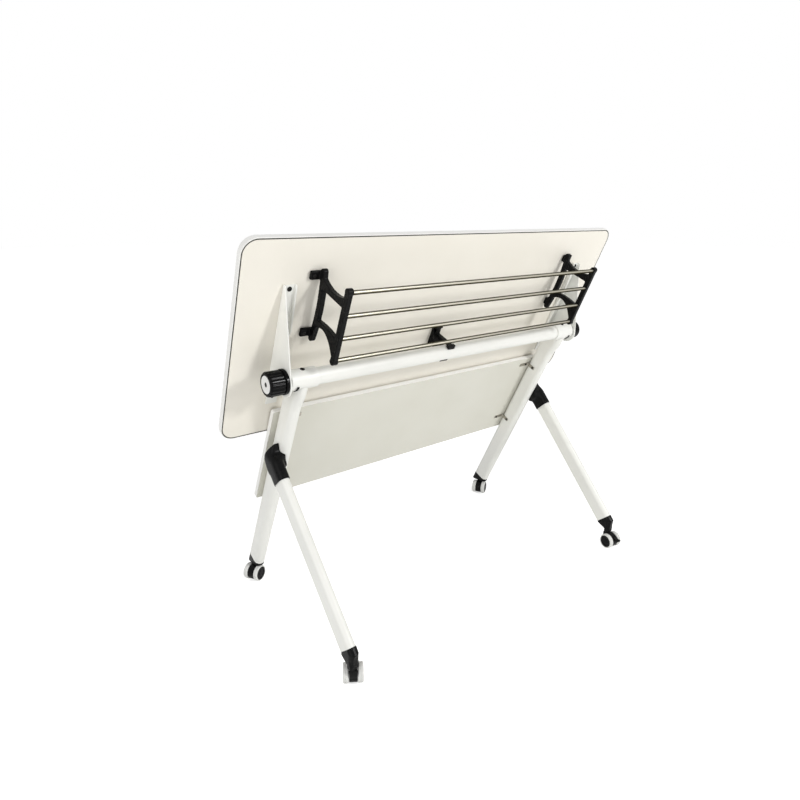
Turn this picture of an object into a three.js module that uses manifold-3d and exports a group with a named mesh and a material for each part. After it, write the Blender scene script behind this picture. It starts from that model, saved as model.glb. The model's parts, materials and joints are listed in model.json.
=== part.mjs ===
// Flip-top training table on casters, folded for storage: the top is tipped up on its beam.
// Millimetres, +Z up. +X runs along the beam to the right, -Y is the user's side.
import * as THREE from 'three';
import { mergeVertices } from 'three/addons/utils/BufferGeometryUtils.js';
import Module from 'manifold-3d';

const wasm = await Module();
wasm.setup();

// Fits and facets
const CLEARANCE = 0.3;
const ROUND_SIDES = 28;
const SMALL_SIDES = 16;
const CORNER_STEPS = 5;
const HEX_SIDES = 6;

// How far a cut runs past the face it opens, and how far joined shapes run into each other
const OVERRUN = 1;

// Table top
const TOP_LENGTH = 1200;
const TOP_WIDTH = 500;
const TOP_THICKNESS = 18;
const TOP_CORNER_RADIUS = 36;
const BAND_THICKNESS = 2;
const JOINT_GROOVE = 1.6;

// Pivot
const PIVOT_HEIGHT = 652;
const PIVOT_TO_UNDERSIDE = 66;
const PIVOT_TO_FRONT_EDGE = 302;
const TIP_UP_ANGLE = 67;
const BOLT_RADIUS = 6;
const BOLT_HEAD_RADIUS = 9;
const BOLT_HEAD_HEIGHT = 8;

// Beam and collars
const BEAM_RADIUS = 20;
const BEAM_WALL = 2;
const BEAM_SLOT_LENGTH = 26;
const BEAM_SLOT_WIDTH = 5;
const BEAM_SLOT_ANGLE = 30;
const BEAM_SLOT_STATION = -41;
const LATCH_STATION = -22;
const COLLAR_RADIUS = 23.5;
const COLLAR_INBOARD = 35;
const COLLAR_OUTBOARD = 35;
const COLLAR_END_WALL = 8;
const COLLAR_SCREW_RADIUS = 5.5;
const COLLAR_SCREW_TURN = 15;
const COLLAR_SCREW_LENGTH = 4;
const WASHER_THICKNESS = 2.4;
const WASHER_RADIUS = 21;

// Legs
const LEG_INSET = 143;
const LEG_WALL = 2;
const MAIN_LEG_DEPTH = 55;
const MAIN_LEG_WIDTH = 30;
const MAIN_LEG_LEAN = 25.8;
const MAIN_LEG_SETBACK = 16;
const MAIN_LEG_CUT_HEIGHT = 67.5;
const MAIN_LEG_HEAD = 42;
const MAIN_LEG_FLARE = 10;
const FRONT_LEG_DEPTH = 50;
const FRONT_LEG_WIDTH = 25;
const FRONT_LEG_LEAN = 41.1;
const FRONT_LEG_START = 46;
const FRONT_LEG_CUT_HEIGHT = 84.4;
const LEG_SIDE_GAP = 1;

// Leg joint
const JOINT_DROP = 227;
const JOINT_SLEEVE_END = 78;
const JOINT_WALL = 3;
const JOINT_TONGUE = 33;
const JOINT_HORN = 5;
const JOINT_ROUND = 2.5;
const JOINT_WRAP = 12;
const JOINT_TONGUE_TAPER = 25;

// Foot sockets
const SPIGOT_LENGTH = 30;
const NECK_RADIUS = 9.5;
const FRONT_NECK_FORWARD = 18;
const REAR_STEM_AIM = 54;
const FRONT_SOCKET_STRAIGHT = 20;
const SOCKET_ROUND = 4;

// Modesty panel and its angle strips
const PANEL_OVERHANG = 25;
const PANEL_HEIGHT = 300;
const PANEL_THICKNESS = 12;
const PANEL_DROP = 122.5;
const PANEL_CORNER_RADIUS = 6;
const PANEL_GAP = 0.5;
const STRIP_WIDTH = 10;
const STRIP_THICKNESS = 2;
const STRIP_REACH = 30;
const STRIP_PANEL_REACH = 38;
const UPPER_STRIP_DROP = 24;
const LOWER_STRIP_RISE = 52;

// Support arms
const ARM_WIDTH = 30;
const ARM_SHEET = 3;
const ARM_TIP_REACH = 199;
const ARM_REAR_REACH = 110;
const ARM_WALL_REAR = 62;
const ARM_TIP_DEPTH = 9;
const ARM_EYE_RADIUS = 30;
const ARM_EYE_SETBACK = 6;
const ARM_EYE_THICKNESS = 4;
const ARM_INNER_WALL_END = 75;
const ARM_INNER_WALL_DEPTH = 15;
const ARM_SCREW_RADIUS = 3.5;
const ARM_SCREW_INSET = 10;

// Clamp knob
const KNOB_RING_RADIUS = 29;
const KNOB_RING_LENGTH = 8;
const KNOB_GROOVE_LENGTH = 1.5;
const KNOB_GROOVE_RADIUS = 25.5;
const KNOB_GRIP_RADIUS = 28;
const KNOB_GRIP_LENGTH = 35;
const KNOB_FLUTES = 16;
const KNOB_FLUTE_DEPTH = 1;
const KNOB_FACE_RADIUS = 20;
const KNOB_FACE_DEPTH = 4;
const KNOB_HEX_RADIUS = 5.5;

// Plain cap on the right-hand end of the pivot
const END_CAP_RADIUS = 27;
const END_CAP_LENGTH = 26;
const END_CAP_CHAMFER = 4;
const END_CAP_WALL = 4;

// Book rack
const ROD_RADIUS = 5;
const ROD_PITCH = 54.5;
const ROD_COUNT = 4;
const TOP_ROD_REACH = 231;
const ROD_DROP = 109;
const ROD_SEAT_DEPTH = 8;
const RACK_INSET = 44;
const RACK_THICKNESS = 12;
const RACK_BAR_DEPTH = 14;
const RACK_BAR_FOOT = 6;
const RACK_BAR_ARCH = 8;
const RACK_INNER_TOP = 236;
const RACK_INNER_BOTTOM = 60;
const RACK_BAR_OVERHANG = 9;
const RACK_WEB_THICKNESS = 14;
const RACK_WEB_FLARE = 13;
const RACK_UPPER_WEB = 207;
const RACK_UPPER_BOW = 6;
const RACK_LOWER_WEB = 106;
const RACK_LOWER_BOW = -11;
const RACK_LOWER_FOOT = 28;
const RACK_PAD_LENGTH = 22;
const RACK_PAD_WIDTH = 20;
const RACK_UPPER_PAD = 218;
const RACK_LOWER_PAD = 79;

// Hook latch
const LATCH_WIDTH = 13;
const LATCH_CHEEK = 3;
const LATCH_PIN_RADIUS = 4;
const LATCH_PIN_FORWARD = 16;
const LATCH_PIN_DROP = 15;
const LATCH_EYE_RADIUS = 9;
const LATCH_BASE_THICKNESS = 3;
const LATCH_BASE_FRONT = 40;
const LATCH_BASE_REAR = 12;
const LATCH_CHEEK_FOOT = 40;
const LATCH_ARM_DEPTH = 7;
const LATCH_NOSE_BELOW = 10;
const LATCH_TAB_REACH = 18.5;
const LATCH_TAB_THICKNESS = 5;
const LATCH_TAB_WIDTH = 24;
const LATCH_TAB_DEPTH = 6.5;
const SPRING_WIRE = 1.4;
const SPRING_TURNS = 3;
const SPRING_PITCH = 2.4;

// Casters
const WHEEL_RADIUS = 22.5;
const WHEEL_WIDTH = 13;
const WHEEL_SHOULDER = 2;
const WHEEL_CAP_RADIUS = 18.5;
const WHEEL_CAP_INSET = 0.8;
const WHEEL_SIDE_GAP = 0.5;
const CASTER_TRAIL = 14;
const CASTER_TOP = 46.8;
const CASTER_BODY_RADIUS = 20.5;
const CASTER_BODY_WIDTH = 19;
const CASTER_FLANGE_HEIGHT = 1.4;
const STEM_RADIUS = 5;
const STEM_LENGTH = 26;
const AXLE_RADIUS = 4;
const BRAKE_WIDTH = 12;
const BRAKE_REACH = 18;
const BRAKE_THICKNESS = 4.5;
const BRAKE_PIN_RADIUS = 1.6;
const BRAKE_PIN_OUT = 15.5;
const BRAKE_PIN_UP = 12;
const BRAKE_TRAVEL = 18;
const FRONT_LEFT_HEADING = -33.5;
const FRONT_RIGHT_HEADING = 170.6;
const REAR_LEFT_HEADING = 118.1;
const REAR_RIGHT_HEADING = 119.5;

// Finishes
const WHITE_PAINT = { color: 0xf4f3ee, roughness: 0.35, metalness: 0.0 };
const CREAM_LAMINATE = { color: 0xefece0, roughness: 0.45, metalness: 0.0 };
const WHITE_PLASTIC = { color: 0xf6f6f2, roughness: 0.4, metalness: 0.0 };
const BLACK_PLASTIC = { color: 0x1c1d1e, roughness: 0.4, metalness: 0.0 };
const STAINLESS = { color: 0xb9b4a9, roughness: 0.3, metalness: 1.0 };
const ZINC = { color: 0x8d8b84, roughness: 0.4, metalness: 1.0 };
const BLACK_STEEL = { color: 0x18181a, roughness: 0.35, metalness: 0.7 };

const radians = THREE.MathUtils.degToRad;

// Solids from closed geometry, and the joins and cuts made with them
function solidOf(geometry) {
  const bare = geometry.clone();
  bare.deleteAttribute('normal');
  bare.deleteAttribute('uv');
  const merged = mergeVertices(bare, 1e-4);
  return new wasm.Manifold(new wasm.Mesh({
    numProp: 3,
    vertProperties: new Float32Array(merged.attributes.position.array),
    triVerts: new Uint32Array(merged.index.array),
  }));
}

function geometryOf(body) {
  const mesh = body.getMesh();
  const geometry = new THREE.BufferGeometry();
  geometry.setAttribute('position', new THREE.BufferAttribute(Float32Array.from(mesh.vertProperties), 3));
  geometry.setIndex(new THREE.BufferAttribute(Uint32Array.from(mesh.triVerts), 1));
  geometry.computeVertexNormals();
  return geometry;
}

function join(...geometries) {
  return geometryOf(geometries.map(solidOf).reduce((whole, next) => whole.add(next)));
}

function cut(geometry, ...tools) {
  return geometryOf(tools.map(solidOf).reduce((left, tool) => left.subtract(tool), solidOf(geometry)));
}

// Plain shapes, placed by their limits
function box(x0, x1, y0, y1, z0, z1) {
  const geometry = new THREE.BoxGeometry(x1 - x0, y1 - y0, z1 - z0);
  return geometry.translate((x0 + x1) / 2, (y0 + y1) / 2, (z0 + z1) / 2);
}

function rodX(radius, x0, x1, y = 0, z = 0, sides = ROUND_SIDES) {
  const geometry = new THREE.CylinderGeometry(radius, radius, x1 - x0, sides);
  return geometry.rotateZ(-Math.PI / 2).translate((x0 + x1) / 2, y, z);
}

function rodZ(radius, z0, z1, x = 0, y = 0, sides = ROUND_SIDES) {
  const geometry = new THREE.CylinderGeometry(radius, radius, z1 - z0, sides);
  return geometry.rotateX(Math.PI / 2).translate(x, y, (z0 + z1) / 2);
}

// An outline drawn in (y, z) and run along X; an outline drawn in (x, y) and run along Z
const OUTLINE_YZ_TO_X = new THREE.Matrix4().makeBasis(
  new THREE.Vector3(0, 1, 0), new THREE.Vector3(0, 0, 1), new THREE.Vector3(1, 0, 0));

function prismX(outline, x0, x1, round = 0) {
  const geometry = new THREE.ExtrudeGeometry(outline, {
    depth: x1 - x0 - 2 * round,
    curveSegments: CORNER_STEPS,
    bevelEnabled: round > 0,
    bevelThickness: round,
    bevelSize: round,
    bevelOffset: -round,
    bevelSegments: 2,
  });
  return geometry.applyMatrix4(OUTLINE_YZ_TO_X).translate(x0 + round, 0, 0);
}

function prismZ(outline, z0, z1) {
  const settings = { depth: z1 - z0, bevelEnabled: false, curveSegments: CORNER_STEPS };
  return new THREE.ExtrudeGeometry(outline, settings).translate(0, 0, z0);
}

function roundedRectangle(x0, x1, y0, y1, radius) {
  const shape = new THREE.Shape();
  shape.moveTo(x0 + radius, y0);
  shape.lineTo(x1 - radius, y0);
  shape.absarc(x1 - radius, y0 + radius, radius, -Math.PI / 2, 0);
  shape.lineTo(x1, y1 - radius);
  shape.absarc(x1 - radius, y1 - radius, radius, 0, Math.PI / 2);
  shape.lineTo(x0 + radius, y1);
  shape.absarc(x0 + radius, y1 - radius, radius, Math.PI / 2, Math.PI);
  shape.lineTo(x0, y0 + radius);
  shape.absarc(x0 + radius, y0 + radius, radius, Math.PI, 1.5 * Math.PI);
  return shape;
}

// Flat-oval tube section: round ends fore and aft, flat sides
function flatOval(depth, width, x = 0) {
  const end = depth / 2 - width / 2;
  const shape = new THREE.Shape();
  shape.absarc(x, end, width / 2, 0, Math.PI);
  shape.absarc(x, -end, width / 2, Math.PI, 2 * Math.PI);
  return shape;
}

// Both ends of a stretch along X, given for the right-hand side
function span(side, near, far) {
  return [side * near, side * far].sort((a, b) => a - b);
}

const SIDES = [{ name: 'left', side: -1 }, { name: 'right', side: 1 }];

function part(parent, name, geometry, finish) {
  const mesh = new THREE.Mesh(geometry, new THREE.MeshStandardMaterial(finish));
  mesh.name = name;
  parent.add(mesh);
  return mesh;
}

// Places that several pieces share
const legStation = TOP_LENGTH / 2 - LEG_INSET;
const mainLegFrame = new THREE.Matrix4().makeRotationX(radians(MAIN_LEG_LEAN));
mainLegFrame.setPosition(0, MAIN_LEG_SETBACK, PIVOT_HEIGHT);
const jointPoint = new THREE.Vector3(0, 0, -JOINT_DROP).applyMatrix4(mainLegFrame);
const frontLegFrame = new THREE.Matrix4().makeRotationX(radians(-FRONT_LEG_LEAN)).setPosition(jointPoint);
const frontLegStation = legStation + MAIN_LEG_WIDTH / 2 + FRONT_LEG_WIDTH / 2 + LEG_SIDE_GAP;
const frontLegEnd = (jointPoint.z - FRONT_LEG_CUT_HEIGHT) / Math.cos(radians(FRONT_LEG_LEAN));
const frontFoot = new THREE.Vector3(0, 0, -frontLegEnd).applyMatrix4(frontLegFrame);
const rearStemRun = (PIVOT_HEIGHT - REAR_STEM_AIM) * Math.tan(radians(MAIN_LEG_LEAN));
const rearStemY = MAIN_LEG_SETBACK + rearStemRun;
const frontStemY = frontFoot.y - FRONT_NECK_FORWARD;
const collarEnd = legStation + COLLAR_OUTBOARD;
const armEyeStart = collarEnd + WASHER_THICKNESS + 2 * CLEARANCE;
const armOuter = armEyeStart + ARM_EYE_THICKNESS;
const knobStart = armOuter + CLEARANCE;
const knobEnd = knobStart + KNOB_RING_LENGTH + KNOB_GROOVE_LENGTH + KNOB_GRIP_LENGTH;
const endCapEnd = knobStart + END_CAP_LENGTH;
const boltHole = BOLT_RADIUS + CLEARANCE;
const undersideSeat = PIVOT_TO_UNDERSIDE - CLEARANCE;

const table = new THREE.Group();

// Pivot line: beam, collars, bolts and washers, centred on the pivot axis
const pivot = new THREE.Group();
pivot.position.z = PIVOT_HEIGHT;
table.add(pivot);

function beamTube() {
  const half = collarEnd - COLLAR_END_WALL - CLEARANCE;
  const tube = rodX(BEAM_RADIUS, -half, half);
  const bore = rodX(BEAM_RADIUS - BEAM_WALL, -half - OVERRUN, half + OVERRUN);
  const slotHalf = BEAM_SLOT_LENGTH / 2;
  const slot = box(BEAM_SLOT_STATION - slotHalf, BEAM_SLOT_STATION + slotHalf,
    -BEAM_SLOT_WIDTH / 2, BEAM_SLOT_WIDTH / 2, -2 * BEAM_RADIUS, 0);
  return cut(tube, bore, slot.rotateX(radians(-BEAM_SLOT_ANGLE)));
}
part(pivot, 'beam', beamTube(), WHITE_PAINT);

function collarCup(side) {
  const body = rodX(COLLAR_RADIUS, ...span(side, legStation - COLLAR_INBOARD, collarEnd));
  const socketStart = legStation - COLLAR_INBOARD - OVERRUN;
  const socketEnd = collarEnd - COLLAR_END_WALL;
  const socket = rodX(BEAM_RADIUS + CLEARANCE, ...span(side, socketStart, socketEnd));
  const bolt = rodX(boltHole, ...span(side, legStation, collarEnd + OVERRUN), 0, 0, SMALL_SIDES);
  const screwHole = COLLAR_SCREW_RADIUS + CLEARANCE;
  const screw = rodZ(screwHole, 0, 2 * COLLAR_RADIUS, side * legStation, 0, SMALL_SIDES);
  return cut(body, socket, bolt, screw.rotateX(radians(COLLAR_SCREW_TURN)));
}

function pivotBolt(side) {
  const headOuter = collarEnd - COLLAR_END_WALL - CLEARANCE;
  const headSpan = span(side, headOuter - BOLT_HEAD_HEIGHT, headOuter);
  const head = rodX(BOLT_HEAD_RADIUS, ...headSpan, 0, 0, HEX_SIDES);
  const tipX = side < 0 ? knobEnd - KNOB_FACE_DEPTH - CLEARANCE : endCapEnd - END_CAP_WALL - CLEARANCE;
  const shank = rodX(BOLT_RADIUS, ...span(side, headOuter - OVERRUN, tipX), 0, 0, SMALL_SIDES);
  return join(head, shank);
}

for (const { name, side } of SIDES) {
  part(pivot, `collar_${name}`, collarCup(side), WHITE_PAINT);
  part(pivot, `pivot_bolt_${name}`, pivotBolt(side), BLACK_STEEL);
  const washerStart = collarEnd + CLEARANCE;
  const [washerLow, washerHigh] = span(side, washerStart, washerStart + WASHER_THICKNESS);
  const washer = cut(
    rodX(WASHER_RADIUS, washerLow, washerHigh),
    rodX(boltHole, washerLow - OVERRUN, washerHigh + OVERRUN, 0, 0, SMALL_SIDES));
  part(pivot, `pivot_washer_${name}`, washer, BLACK_PLASTIC);
  const screwSeat = BEAM_RADIUS + CLEARANCE;
  const screw = rodZ(COLLAR_SCREW_RADIUS, screwSeat, screwSeat + COLLAR_SCREW_LENGTH,
    side * legStation, 0, SMALL_SIDES);
  part(pivot, `collar_screw_${name}`, screw.rotateX(radians(COLLAR_SCREW_TURN)), BLACK_STEEL);
}

// Clamp knob: grip ring, groove, fluted drum and an inset white face
function fluteOutline() {
  const steps = KNOB_FLUTES * 4;
  const points = Array.from({ length: steps }, (_, step) => {
    const turn = (2 * Math.PI * step) / steps;
    const radius = KNOB_GRIP_RADIUS - (KNOB_FLUTE_DEPTH / 2) * (1 - Math.cos(KNOB_FLUTES * turn));
    return new THREE.Vector2(radius * Math.cos(turn), radius * Math.sin(turn));
  });
  return new THREE.Shape(points);
}

const KNOB_SIDE = -1;

function clampKnob() {
  const grooveStart = knobStart + KNOB_RING_LENGTH;
  const gripStart = grooveStart + KNOB_GROOVE_LENGTH;
  const faceStart = knobEnd - KNOB_FACE_DEPTH;
  const ring = rodX(KNOB_RING_RADIUS, ...span(KNOB_SIDE, knobStart, grooveStart));
  const groove = rodX(KNOB_GROOVE_RADIUS, ...span(KNOB_SIDE, knobStart + OVERRUN, gripStart + OVERRUN));
  const grip = prismX(fluteOutline(), ...span(KNOB_SIDE, gripStart, knobEnd));
  const faceSpan = span(KNOB_SIDE, faceStart - CLEARANCE, knobEnd + OVERRUN);
  const face = rodX(KNOB_FACE_RADIUS + CLEARANCE, ...faceSpan);
  const bore = rodX(boltHole, ...span(KNOB_SIDE, knobStart - OVERRUN, knobEnd), 0, 0, SMALL_SIDES);
  return cut(join(ring, groove, grip), face, bore);
}

function knobFace() {
  const faceStart = knobEnd - KNOB_FACE_DEPTH;
  return cut(
    rodX(KNOB_FACE_RADIUS, ...span(KNOB_SIDE, faceStart, knobEnd)),
    rodX(KNOB_HEX_RADIUS, ...span(KNOB_SIDE, faceStart - OVERRUN, knobEnd + OVERRUN), 0, 0, HEX_SIDES));
}

part(pivot, 'knob', clampKnob(), BLACK_PLASTIC);
part(pivot, 'knob_face', knobFace(), WHITE_PLASTIC);

// End cap: a chamfered cup over the other bolt's end
function endCap() {
  const boreEnd = endCapEnd - END_CAP_WALL;
  const profile = [
    new THREE.Vector2(0, boreEnd),
    new THREE.Vector2(boltHole, boreEnd),
    new THREE.Vector2(boltHole, knobStart),
    new THREE.Vector2(END_CAP_RADIUS, knobStart),
    new THREE.Vector2(END_CAP_RADIUS, endCapEnd - END_CAP_CHAMFER),
    new THREE.Vector2(END_CAP_RADIUS - END_CAP_CHAMFER, endCapEnd),
    new THREE.Vector2(0, endCapEnd),
  ];
  return new THREE.LatheGeometry(profile, ROUND_SIDES).rotateZ(-Math.PI / 2);
}
part(pivot, 'end_cap', endCap(), BLACK_PLASTIC);

// Main legs: flat-oval tube, coped round the collar, flared in front and cut square at the foot
function mainLegSection(x, z0, z1, grow = 0) {
  const outline = flatOval(MAIN_LEG_DEPTH + 2 * grow, MAIN_LEG_WIDTH + 2 * grow, x);
  return prismZ(outline, z0, z1).applyMatrix4(mainLegFrame);
}

const mainLegLength = (PIVOT_HEIGHT - MAIN_LEG_CUT_HEIGHT) / Math.cos(radians(MAIN_LEG_LEAN));
const mainLegOverrun = mainLegLength + 2 * MAIN_LEG_DEPTH;

function legFlare(x) {
  const front = -MAIN_LEG_DEPTH / 2;
  const outline = new THREE.Shape();
  outline.moveTo(front + MAIN_LEG_WIDTH / 2, 0);
  outline.lineTo(front - MAIN_LEG_FLARE, 0);
  outline.lineTo(front - MAIN_LEG_FLARE, -COLLAR_RADIUS);
  outline.quadraticCurveTo(front, -MAIN_LEG_HEAD, front + MAIN_LEG_WIDTH / 5, -2 * MAIN_LEG_HEAD);
  outline.lineTo(front + MAIN_LEG_WIDTH / 2, -2 * MAIN_LEG_HEAD);
  const half = MAIN_LEG_WIDTH / 2 - LEG_WALL;
  return prismX(outline, x - half, x + half).applyMatrix4(mainLegFrame);
}

function mainLeg(side) {
  const x = side * legStation;
  const tube = join(mainLegSection(x, -mainLegLength, 0), legFlare(x));
  const bore = mainLegSection(x, -mainLegLength - OVERRUN, -2 * MAIN_LEG_HEAD, -LEG_WALL);
  const cope = rodX(COLLAR_RADIUS + CLEARANCE, x - MAIN_LEG_DEPTH, x + MAIN_LEG_DEPTH, 0, PIVOT_HEIGHT);
  return cut(tube, bore, cope);
}

// Front legs: flat-oval tube beside the main leg, square at both ends
function frontLegSection(x, z0, z1, grow = 0) {
  const outline = flatOval(FRONT_LEG_DEPTH + 2 * grow, FRONT_LEG_WIDTH + 2 * grow, x);
  return prismZ(outline, z0, z1).applyMatrix4(frontLegFrame);
}

function frontLeg(side) {
  const x = side * frontLegStation;
  const tube = frontLegSection(x, -frontLegEnd, -FRONT_LEG_START);
  const bore = frontLegSection(x, -frontLegEnd - OVERRUN, -FRONT_LEG_START + OVERRUN, -LEG_WALL);
  return cut(tube, bore);
}

// Leg joint: a sleeve on the front leg whose head bolts to the main leg's outer face,
// with a tongue up the leg and a horn round its front edge
function jointHeadOutline() {
  const front = -MAIN_LEG_DEPTH / 2;
  const toMainLeg = new THREE.Matrix4().copy(mainLegFrame).invert().multiply(frontLegFrame);
  const onSleeve = (y) => new THREE.Vector3(0, y, -FRONT_LEG_START).applyMatrix4(toMainLeg);
  const rear = onSleeve(FRONT_LEG_DEPTH / 2);
  const fore = onSleeve(-FRONT_LEG_DEPTH / 4);
  const level = -JOINT_DROP;
  const tongue = MAIN_LEG_DEPTH / 12;
  const outline = new THREE.Shape();
  outline.moveTo(rear.y, rear.z);
  outline.quadraticCurveTo(tongue, level - 0.8 * JOINT_TONGUE, 1.3 * tongue, level - JOINT_TONGUE / 4);
  outline.quadraticCurveTo(1.3 * tongue, level + 0.5 * JOINT_TONGUE, -tongue / 2, level + JOINT_TONGUE);
  outline.lineTo(-1.7 * tongue, level + 0.95 * JOINT_TONGUE);
  outline.quadraticCurveTo(front / 2, level + 0.35 * JOINT_TONGUE, front, level + 0.45 * JOINT_TONGUE);
  outline.lineTo(front - JOINT_HORN, level + 0.4 * JOINT_TONGUE);
  outline.lineTo(front - JOINT_HORN, level + 0.1 * JOINT_TONGUE);
  outline.lineTo(fore.y, fore.z);
  return outline;
}

function legJoint(side) {
  const x = side * frontLegStation;
  const inner = legStation + MAIN_LEG_WIDTH / 2 - JOINT_WRAP;
  const outer = frontLegStation + FRONT_LEG_WIDTH / 2 + JOINT_WALL;
  const head = prismX(jointHeadOutline(), ...span(side, inner, outer), JOINT_ROUND);
  head.applyMatrix4(mainLegFrame);
  const sleeve = frontLegSection(x, -JOINT_SLEEVE_END, -FRONT_LEG_START / 2, JOINT_WALL);
  const slab = box(...span(side, 0, MAIN_LEG_DEPTH), -MAIN_LEG_DEPTH, MAIN_LEG_DEPTH, 0, 2 * JOINT_TONGUE);
  slab.rotateY(radians(-side * JOINT_TONGUE_TAPER)).translate(side * outer, 0, -JOINT_DROP);
  const taper = slab.applyMatrix4(mainLegFrame);
  const legHole = mainLegSection(side * legStation, -mainLegOverrun, 0, CLEARANCE);
  const socket = frontLegSection(x, -2 * JOINT_SLEEVE_END, -FRONT_LEG_START + CLEARANCE, CLEARANCE);
  return cut(join(cut(head, taper), sleeve), legHole, socket);
}

// Foot sockets: a spigot up the tube, a black shoe outside it and a bore for the caster stem
const stemTop = CASTER_TOP + STEM_LENGTH;

function stemBore(x, y) {
  return rodZ(STEM_RADIUS + CLEARANCE, 0, stemTop + CLEARANCE, x, y, SMALL_SIDES);
}

function frontSocket(side) {
  const x = side * frontLegStation;
  const half = FRONT_LEG_DEPTH / 2;
  const along = (y, z) => new THREE.Vector3(0, y, -frontLegEnd + z).applyMatrix4(frontLegFrame);
  const fore = along(-half, SPIGOT_LENGTH / 2);
  const foreBend = along(-half, -FRONT_SOCKET_STRAIGHT);
  const rear = along(half, SPIGOT_LENGTH / 2);
  const rearBend = along(half, -CLEARANCE);
  const foot = CASTER_TOP + CLEARANCE;
  const outline = new THREE.Shape();
  outline.moveTo(fore.y, fore.z);
  outline.lineTo(foreBend.y, foreBend.z);
  const neckFore = frontStemY - NECK_RADIUS;
  const neckRear = frontStemY + NECK_RADIUS;
  outline.quadraticCurveTo(neckFore, foreBend.z - NECK_RADIUS, neckFore, foot);
  outline.lineTo(neckRear, foot);
  outline.lineTo(neckRear, foot + NECK_RADIUS);
  outline.lineTo(rearBend.y, rearBend.z);
  outline.lineTo(rear.y, rear.z);
  const halfWidth = FRONT_LEG_WIDTH / 2;
  const shoe = prismX(outline, x - halfWidth, x + halfWidth, SOCKET_ROUND);
  const tubeSpace = frontLegSection(x, -frontLegEnd - CLEARANCE, 0, SOCKET_ROUND);
  const spigotTop = -frontLegEnd + SPIGOT_LENGTH;
  const spigot = frontLegSection(x, -frontLegEnd - 2 * OVERRUN, spigotTop, -LEG_WALL - CLEARANCE);
  return cut(join(cut(shoe, tubeSpace), spigot), stemBore(x, frontStemY));
}

function rearSocket(side) {
  const x = side * legStation;
  const sole = CASTER_TOP + CLEARANCE;
  const reach = 2 * MAIN_LEG_DEPTH;
  const ground = box(x - reach, x + reach, rearStemY - reach, rearStemY + reach, -PIVOT_HEIGHT, sole);
  const boot = mainLegSection(x, -mainLegOverrun, -mainLegLength - CLEARANCE);
  const spigotTop = -mainLegLength + SPIGOT_LENGTH;
  const spigot = mainLegSection(x, -mainLegLength - OVERRUN, spigotTop, -LEG_WALL - CLEARANCE);
  return cut(join(boot, spigot), ground, stemBore(x, rearStemY));
}

for (const { name, side } of SIDES) {
  part(table, `main_leg_${name}`, mainLeg(side), WHITE_PAINT);
  part(table, `front_leg_${name}`, frontLeg(side), WHITE_PAINT);
  part(table, `leg_joint_${name}`, legJoint(side), BLACK_PLASTIC);
  part(table, `front_socket_${name}`, frontSocket(side), BLACK_PLASTIC);
  part(table, `rear_socket_${name}`, rearSocket(side), BLACK_PLASTIC);
}

// Modesty panel: a board behind the main legs, drawn in the legs' own leaning frame
const legs = new THREE.Group();
legs.applyMatrix4(mainLegFrame);
table.add(legs);

const panelFace = MAIN_LEG_DEPTH / 2 + PANEL_GAP;
const panelHalf = legStation + PANEL_OVERHANG;
const panelOutline = roundedRectangle(
  -panelHalf, panelHalf, -PANEL_DROP - PANEL_HEIGHT, -PANEL_DROP, PANEL_CORNER_RADIUS);
const panel = prismZ(panelOutline, 0, PANEL_THICKNESS).rotateX(Math.PI / 2);
part(legs, 'modesty_panel', panel.translate(0, panelFace + PANEL_THICKNESS, 0), CREAM_LAMINATE);

// Angle strips: one flap on the leg's inner face, one on the panel's face
function angleStrip(side, z) {
  const legFace = legStation - MAIN_LEG_WIDTH / 2 - CLEARANCE;
  const seat = panelFace - CLEARANCE;
  const low = z - STRIP_WIDTH / 2;
  const high = z + STRIP_WIDTH / 2;
  const onLeg = box(...span(side, legFace - STRIP_THICKNESS, legFace), seat - STRIP_REACH, seat, low, high);
  const panelSpan = span(side, legFace - STRIP_PANEL_REACH, legFace);
  const onPanel = box(...panelSpan, seat - STRIP_THICKNESS, seat, low, high);
  return join(onLeg, onPanel);
}

for (const { name, side } of SIDES) {
  const upper = -PANEL_DROP - UPPER_STRIP_DROP;
  const lower = -PANEL_DROP - PANEL_HEIGHT + LOWER_STRIP_RISE;
  part(legs, `panel_strip_upper_${name}`, angleStrip(side, upper), ZINC);
  part(legs, `panel_strip_lower_${name}`, angleStrip(side, lower), ZINC);
}

// The tipping top, drawn level with the pivot axis as its origin and then tipped up
const tippingTop = new THREE.Group();
tippingTop.position.z = PIVOT_HEIGHT;
tippingTop.rotation.x = radians(-TIP_UP_ANGLE);
table.add(tippingTop);

function topOutline(inset) {
  const front = -PIVOT_TO_FRONT_EDGE + inset;
  const rear = -PIVOT_TO_FRONT_EDGE + TOP_WIDTH - inset;
  return roundedRectangle(
    -TOP_LENGTH / 2 + inset, TOP_LENGTH / 2 - inset, front, rear, TOP_CORNER_RADIUS - inset);
}

const boardInset = BAND_THICKNESS + CLEARANCE;
const topFace = PIVOT_TO_UNDERSIDE + TOP_THICKNESS;
part(tippingTop, 'table_top', join(
  prismZ(topOutline(boardInset), PIVOT_TO_UNDERSIDE + JOINT_GROOVE, topFace),
  prismZ(topOutline(boardInset + JOINT_GROOVE), PIVOT_TO_UNDERSIDE, PIVOT_TO_UNDERSIDE + 2 * JOINT_GROOVE),
), CREAM_LAMINATE);
part(tippingTop, 'edge_band', cut(
  prismZ(topOutline(0), PIVOT_TO_UNDERSIDE, topFace),
  prismZ(topOutline(BAND_THICKNESS), PIVOT_TO_UNDERSIDE - OVERRUN, topFace + OVERRUN),
), WHITE_PLASTIC);

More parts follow.
